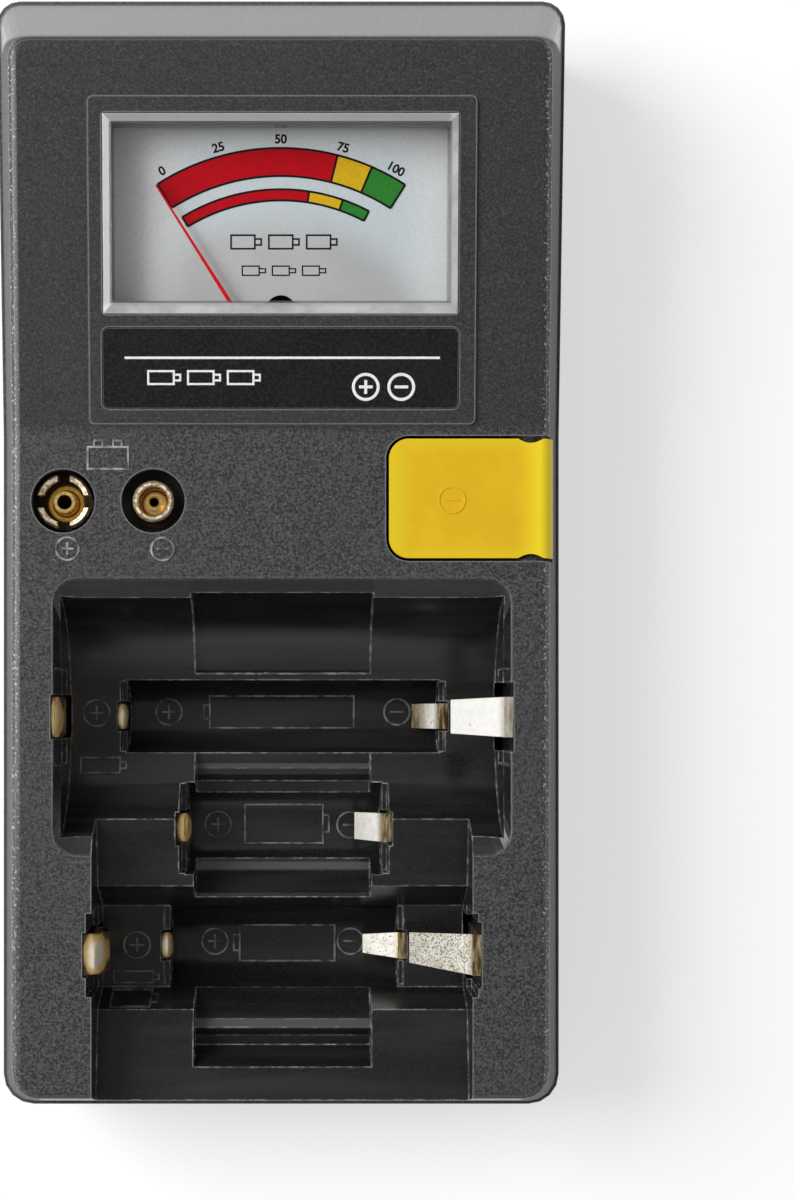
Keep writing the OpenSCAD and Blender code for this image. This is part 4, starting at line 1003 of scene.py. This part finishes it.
mesh = bmesh.new()
stroke(mesh, on_case, BLOCK_CELL, width=0.34, height=RAISED, closed=True)
foot, top = BLOCK_SNAP_Y
for left, right in BLOCK_SNAPS:
    snap = [(left, foot), (left, top), (right, top), (right, foot)]
    stroke(mesh, on_case, snap, width=0.3, height=RAISED)
piece("block_cell_outline", mesh, mark, "case")

mesh = bmesh.new()
ring_mark(mesh, on_flap, FLAP_MARK, 1.85, "-", width=0.26, height=FLAP_RAISED)
piece("flap_sign", mesh, flap_yellow, "flap")

# ---------- camera, floor and light ----------

# The photograph's height, and how far the camera's axis lies off its middle, in pixels.
IMAGE_H = 1200
SHIFT_X, SHIFT_Y = 97, 100
EYE = Vector((2.74, -21.49, 328)) * MM
camera_data = bpy.data.cameras.new("camera")
camera_data.sensor_fit = "VERTICAL"
camera_data.sensor_height = 36
camera_data.lens = 63.8
camera_data.shift_x = SHIFT_X / IMAGE_H
camera_data.shift_y = SHIFT_Y / IMAGE_H
camera_data.clip_start = 0.01
camera = bpy.data.objects.new("camera", camera_data)
camera.location = EYE
bpy.context.scene.collection.objects.link(camera)
bpy.context.scene.camera = camera

# The floor's radius, and the extra white that is only seen on it, near the part and far off it.
FLOOR_R = 3000
FLOOR_NEAR, FLOOR_FAR = 250, 1500
FLOOR_SEEN = (0.54, 0.85)
# The sky's strength at the horizon and overhead, and the extra white that is only seen there.
SKY_ALL = (0.5, 0.32)
SKY_SEEN = (0.5, 0.0)
# Between which heights on the sky, of 0 to 1, the horizon turns into the overhead.
SKY_LOW, SKY_HIGH = 0.25, 0.8


def seen_white(tree, shader, strength):
    """Adds white of a strength to a shader, for camera, glossy and transmission rays only."""
    path = tree.nodes.new("ShaderNodeLightPath")
    amount = path.outputs["Is Camera Ray"]
    steps = [("MAXIMUM", path.outputs["Is Glossy Ray"])]
    steps += [("MAXIMUM", path.outputs["Is Transmission Ray"]), ("MULTIPLY", strength)]
    for operation, value in steps:
        node = tree.nodes.new("ShaderNodeMath")
        node.operation = operation
        tree.links.new(amount, node.inputs[0])
        tree.links.new(value, node.inputs[1])
        amount = node.outputs[0]
    glow = tree.nodes.new("ShaderNodeEmission")
    tree.links.new(amount, glow.inputs["Strength"])
    add = tree.nodes.new("ShaderNodeAddShader")
    tree.links.new(shader, add.inputs[0])
    tree.links.new(glow.outputs[0], add.inputs[1])
    return add.outputs[0]


def floor():
    """A wide white floor that keeps the soft shadow."""
    mesh = bmesh.new()
    bmesh.ops.create_circle(mesh, cap_ends=True, segments=64, radius=FLOOR_R * MM)
    data = bpy.data.meshes.new("floor")
    mesh.to_mesh(data)
    mesh.free()
    obj = bpy.data.objects.new("floor", data)
    bpy.context.scene.collection.objects.link(obj)
    paper = Finish("floor", (0.56, 0.56, 0.56), 0.9, Specular_IOR_Level=0.0)
    tone = paper.mix(paper.noise(60, 2), (0.555, 0.555, 0.555), (0.565, 0.565, 0.565))
    paper.set("Base Color", tone)
    out = paper.tree.nodes["Material Output"]
    distance = paper.distance(paper.x(), paper.y())
    seen = paper.spread(distance, FLOOR_NEAR, FLOOR_FAR, *FLOOR_SEEN)
    shader = seen_white(paper.tree, paper.shader.outputs[0], seen)
    paper.tree.links.new(shader, out.inputs["Surface"])
    paper.give(obj)


def sky():
    """Soft light from all round, white at the horizon and dimmer overhead."""
    world = bpy.data.worlds.new("studio")
    world.use_nodes = True
    bpy.context.scene.world = world
    tree = world.node_tree
    place = tree.nodes.new("ShaderNodeTexCoord")
    split = tree.nodes.new("ShaderNodeSeparateXYZ")
    tree.links.new(place.outputs["Generated"], split.inputs[0])
    shade = {}
    for name, (low, high) in (("all", SKY_ALL), ("seen", SKY_SEEN)):
        node = tree.nodes.new("ShaderNodeMapRange")
        tree.links.new(split.outputs["Z"], node.inputs["Value"])
        node.inputs["From Min"].default_value = SKY_LOW
        node.inputs["From Max"].default_value = SKY_HIGH
        node.inputs["To Min"].default_value = low
        node.inputs["To Max"].default_value = high
        shade[name] = node.outputs[0]
    background = tree.nodes["Background"]
    background.inputs["Color"].default_value = (1, 1, 1, 1)
    tree.links.new(shade["all"], background.inputs["Strength"])
    shader = seen_white(tree, background.outputs[0], shade["seen"])
    tree.links.new(shader, tree.nodes["World Output"].inputs["Surface"])


def soft_box(name, place, target, size, power):
    """A square lamp that faces a target."""
    data = bpy.data.lights.new(name, "AREA")
    data.size = size
    data.energy = power
    obj = bpy.data.objects.new(name, data)
    obj.location = place
    obj.rotation_euler = (Vector(target) - Vector(place)).to_track_quat("-Z", "Y").to_euler()
    bpy.context.scene.collection.objects.link(obj)


floor()
sky()
soft_box("key", place=(-0.62, 0.22, 0.6), target=(0, 0, 0.02), size=0.55, power=7.6)

bpy.context.scene.view_settings.view_transform = "Standard"
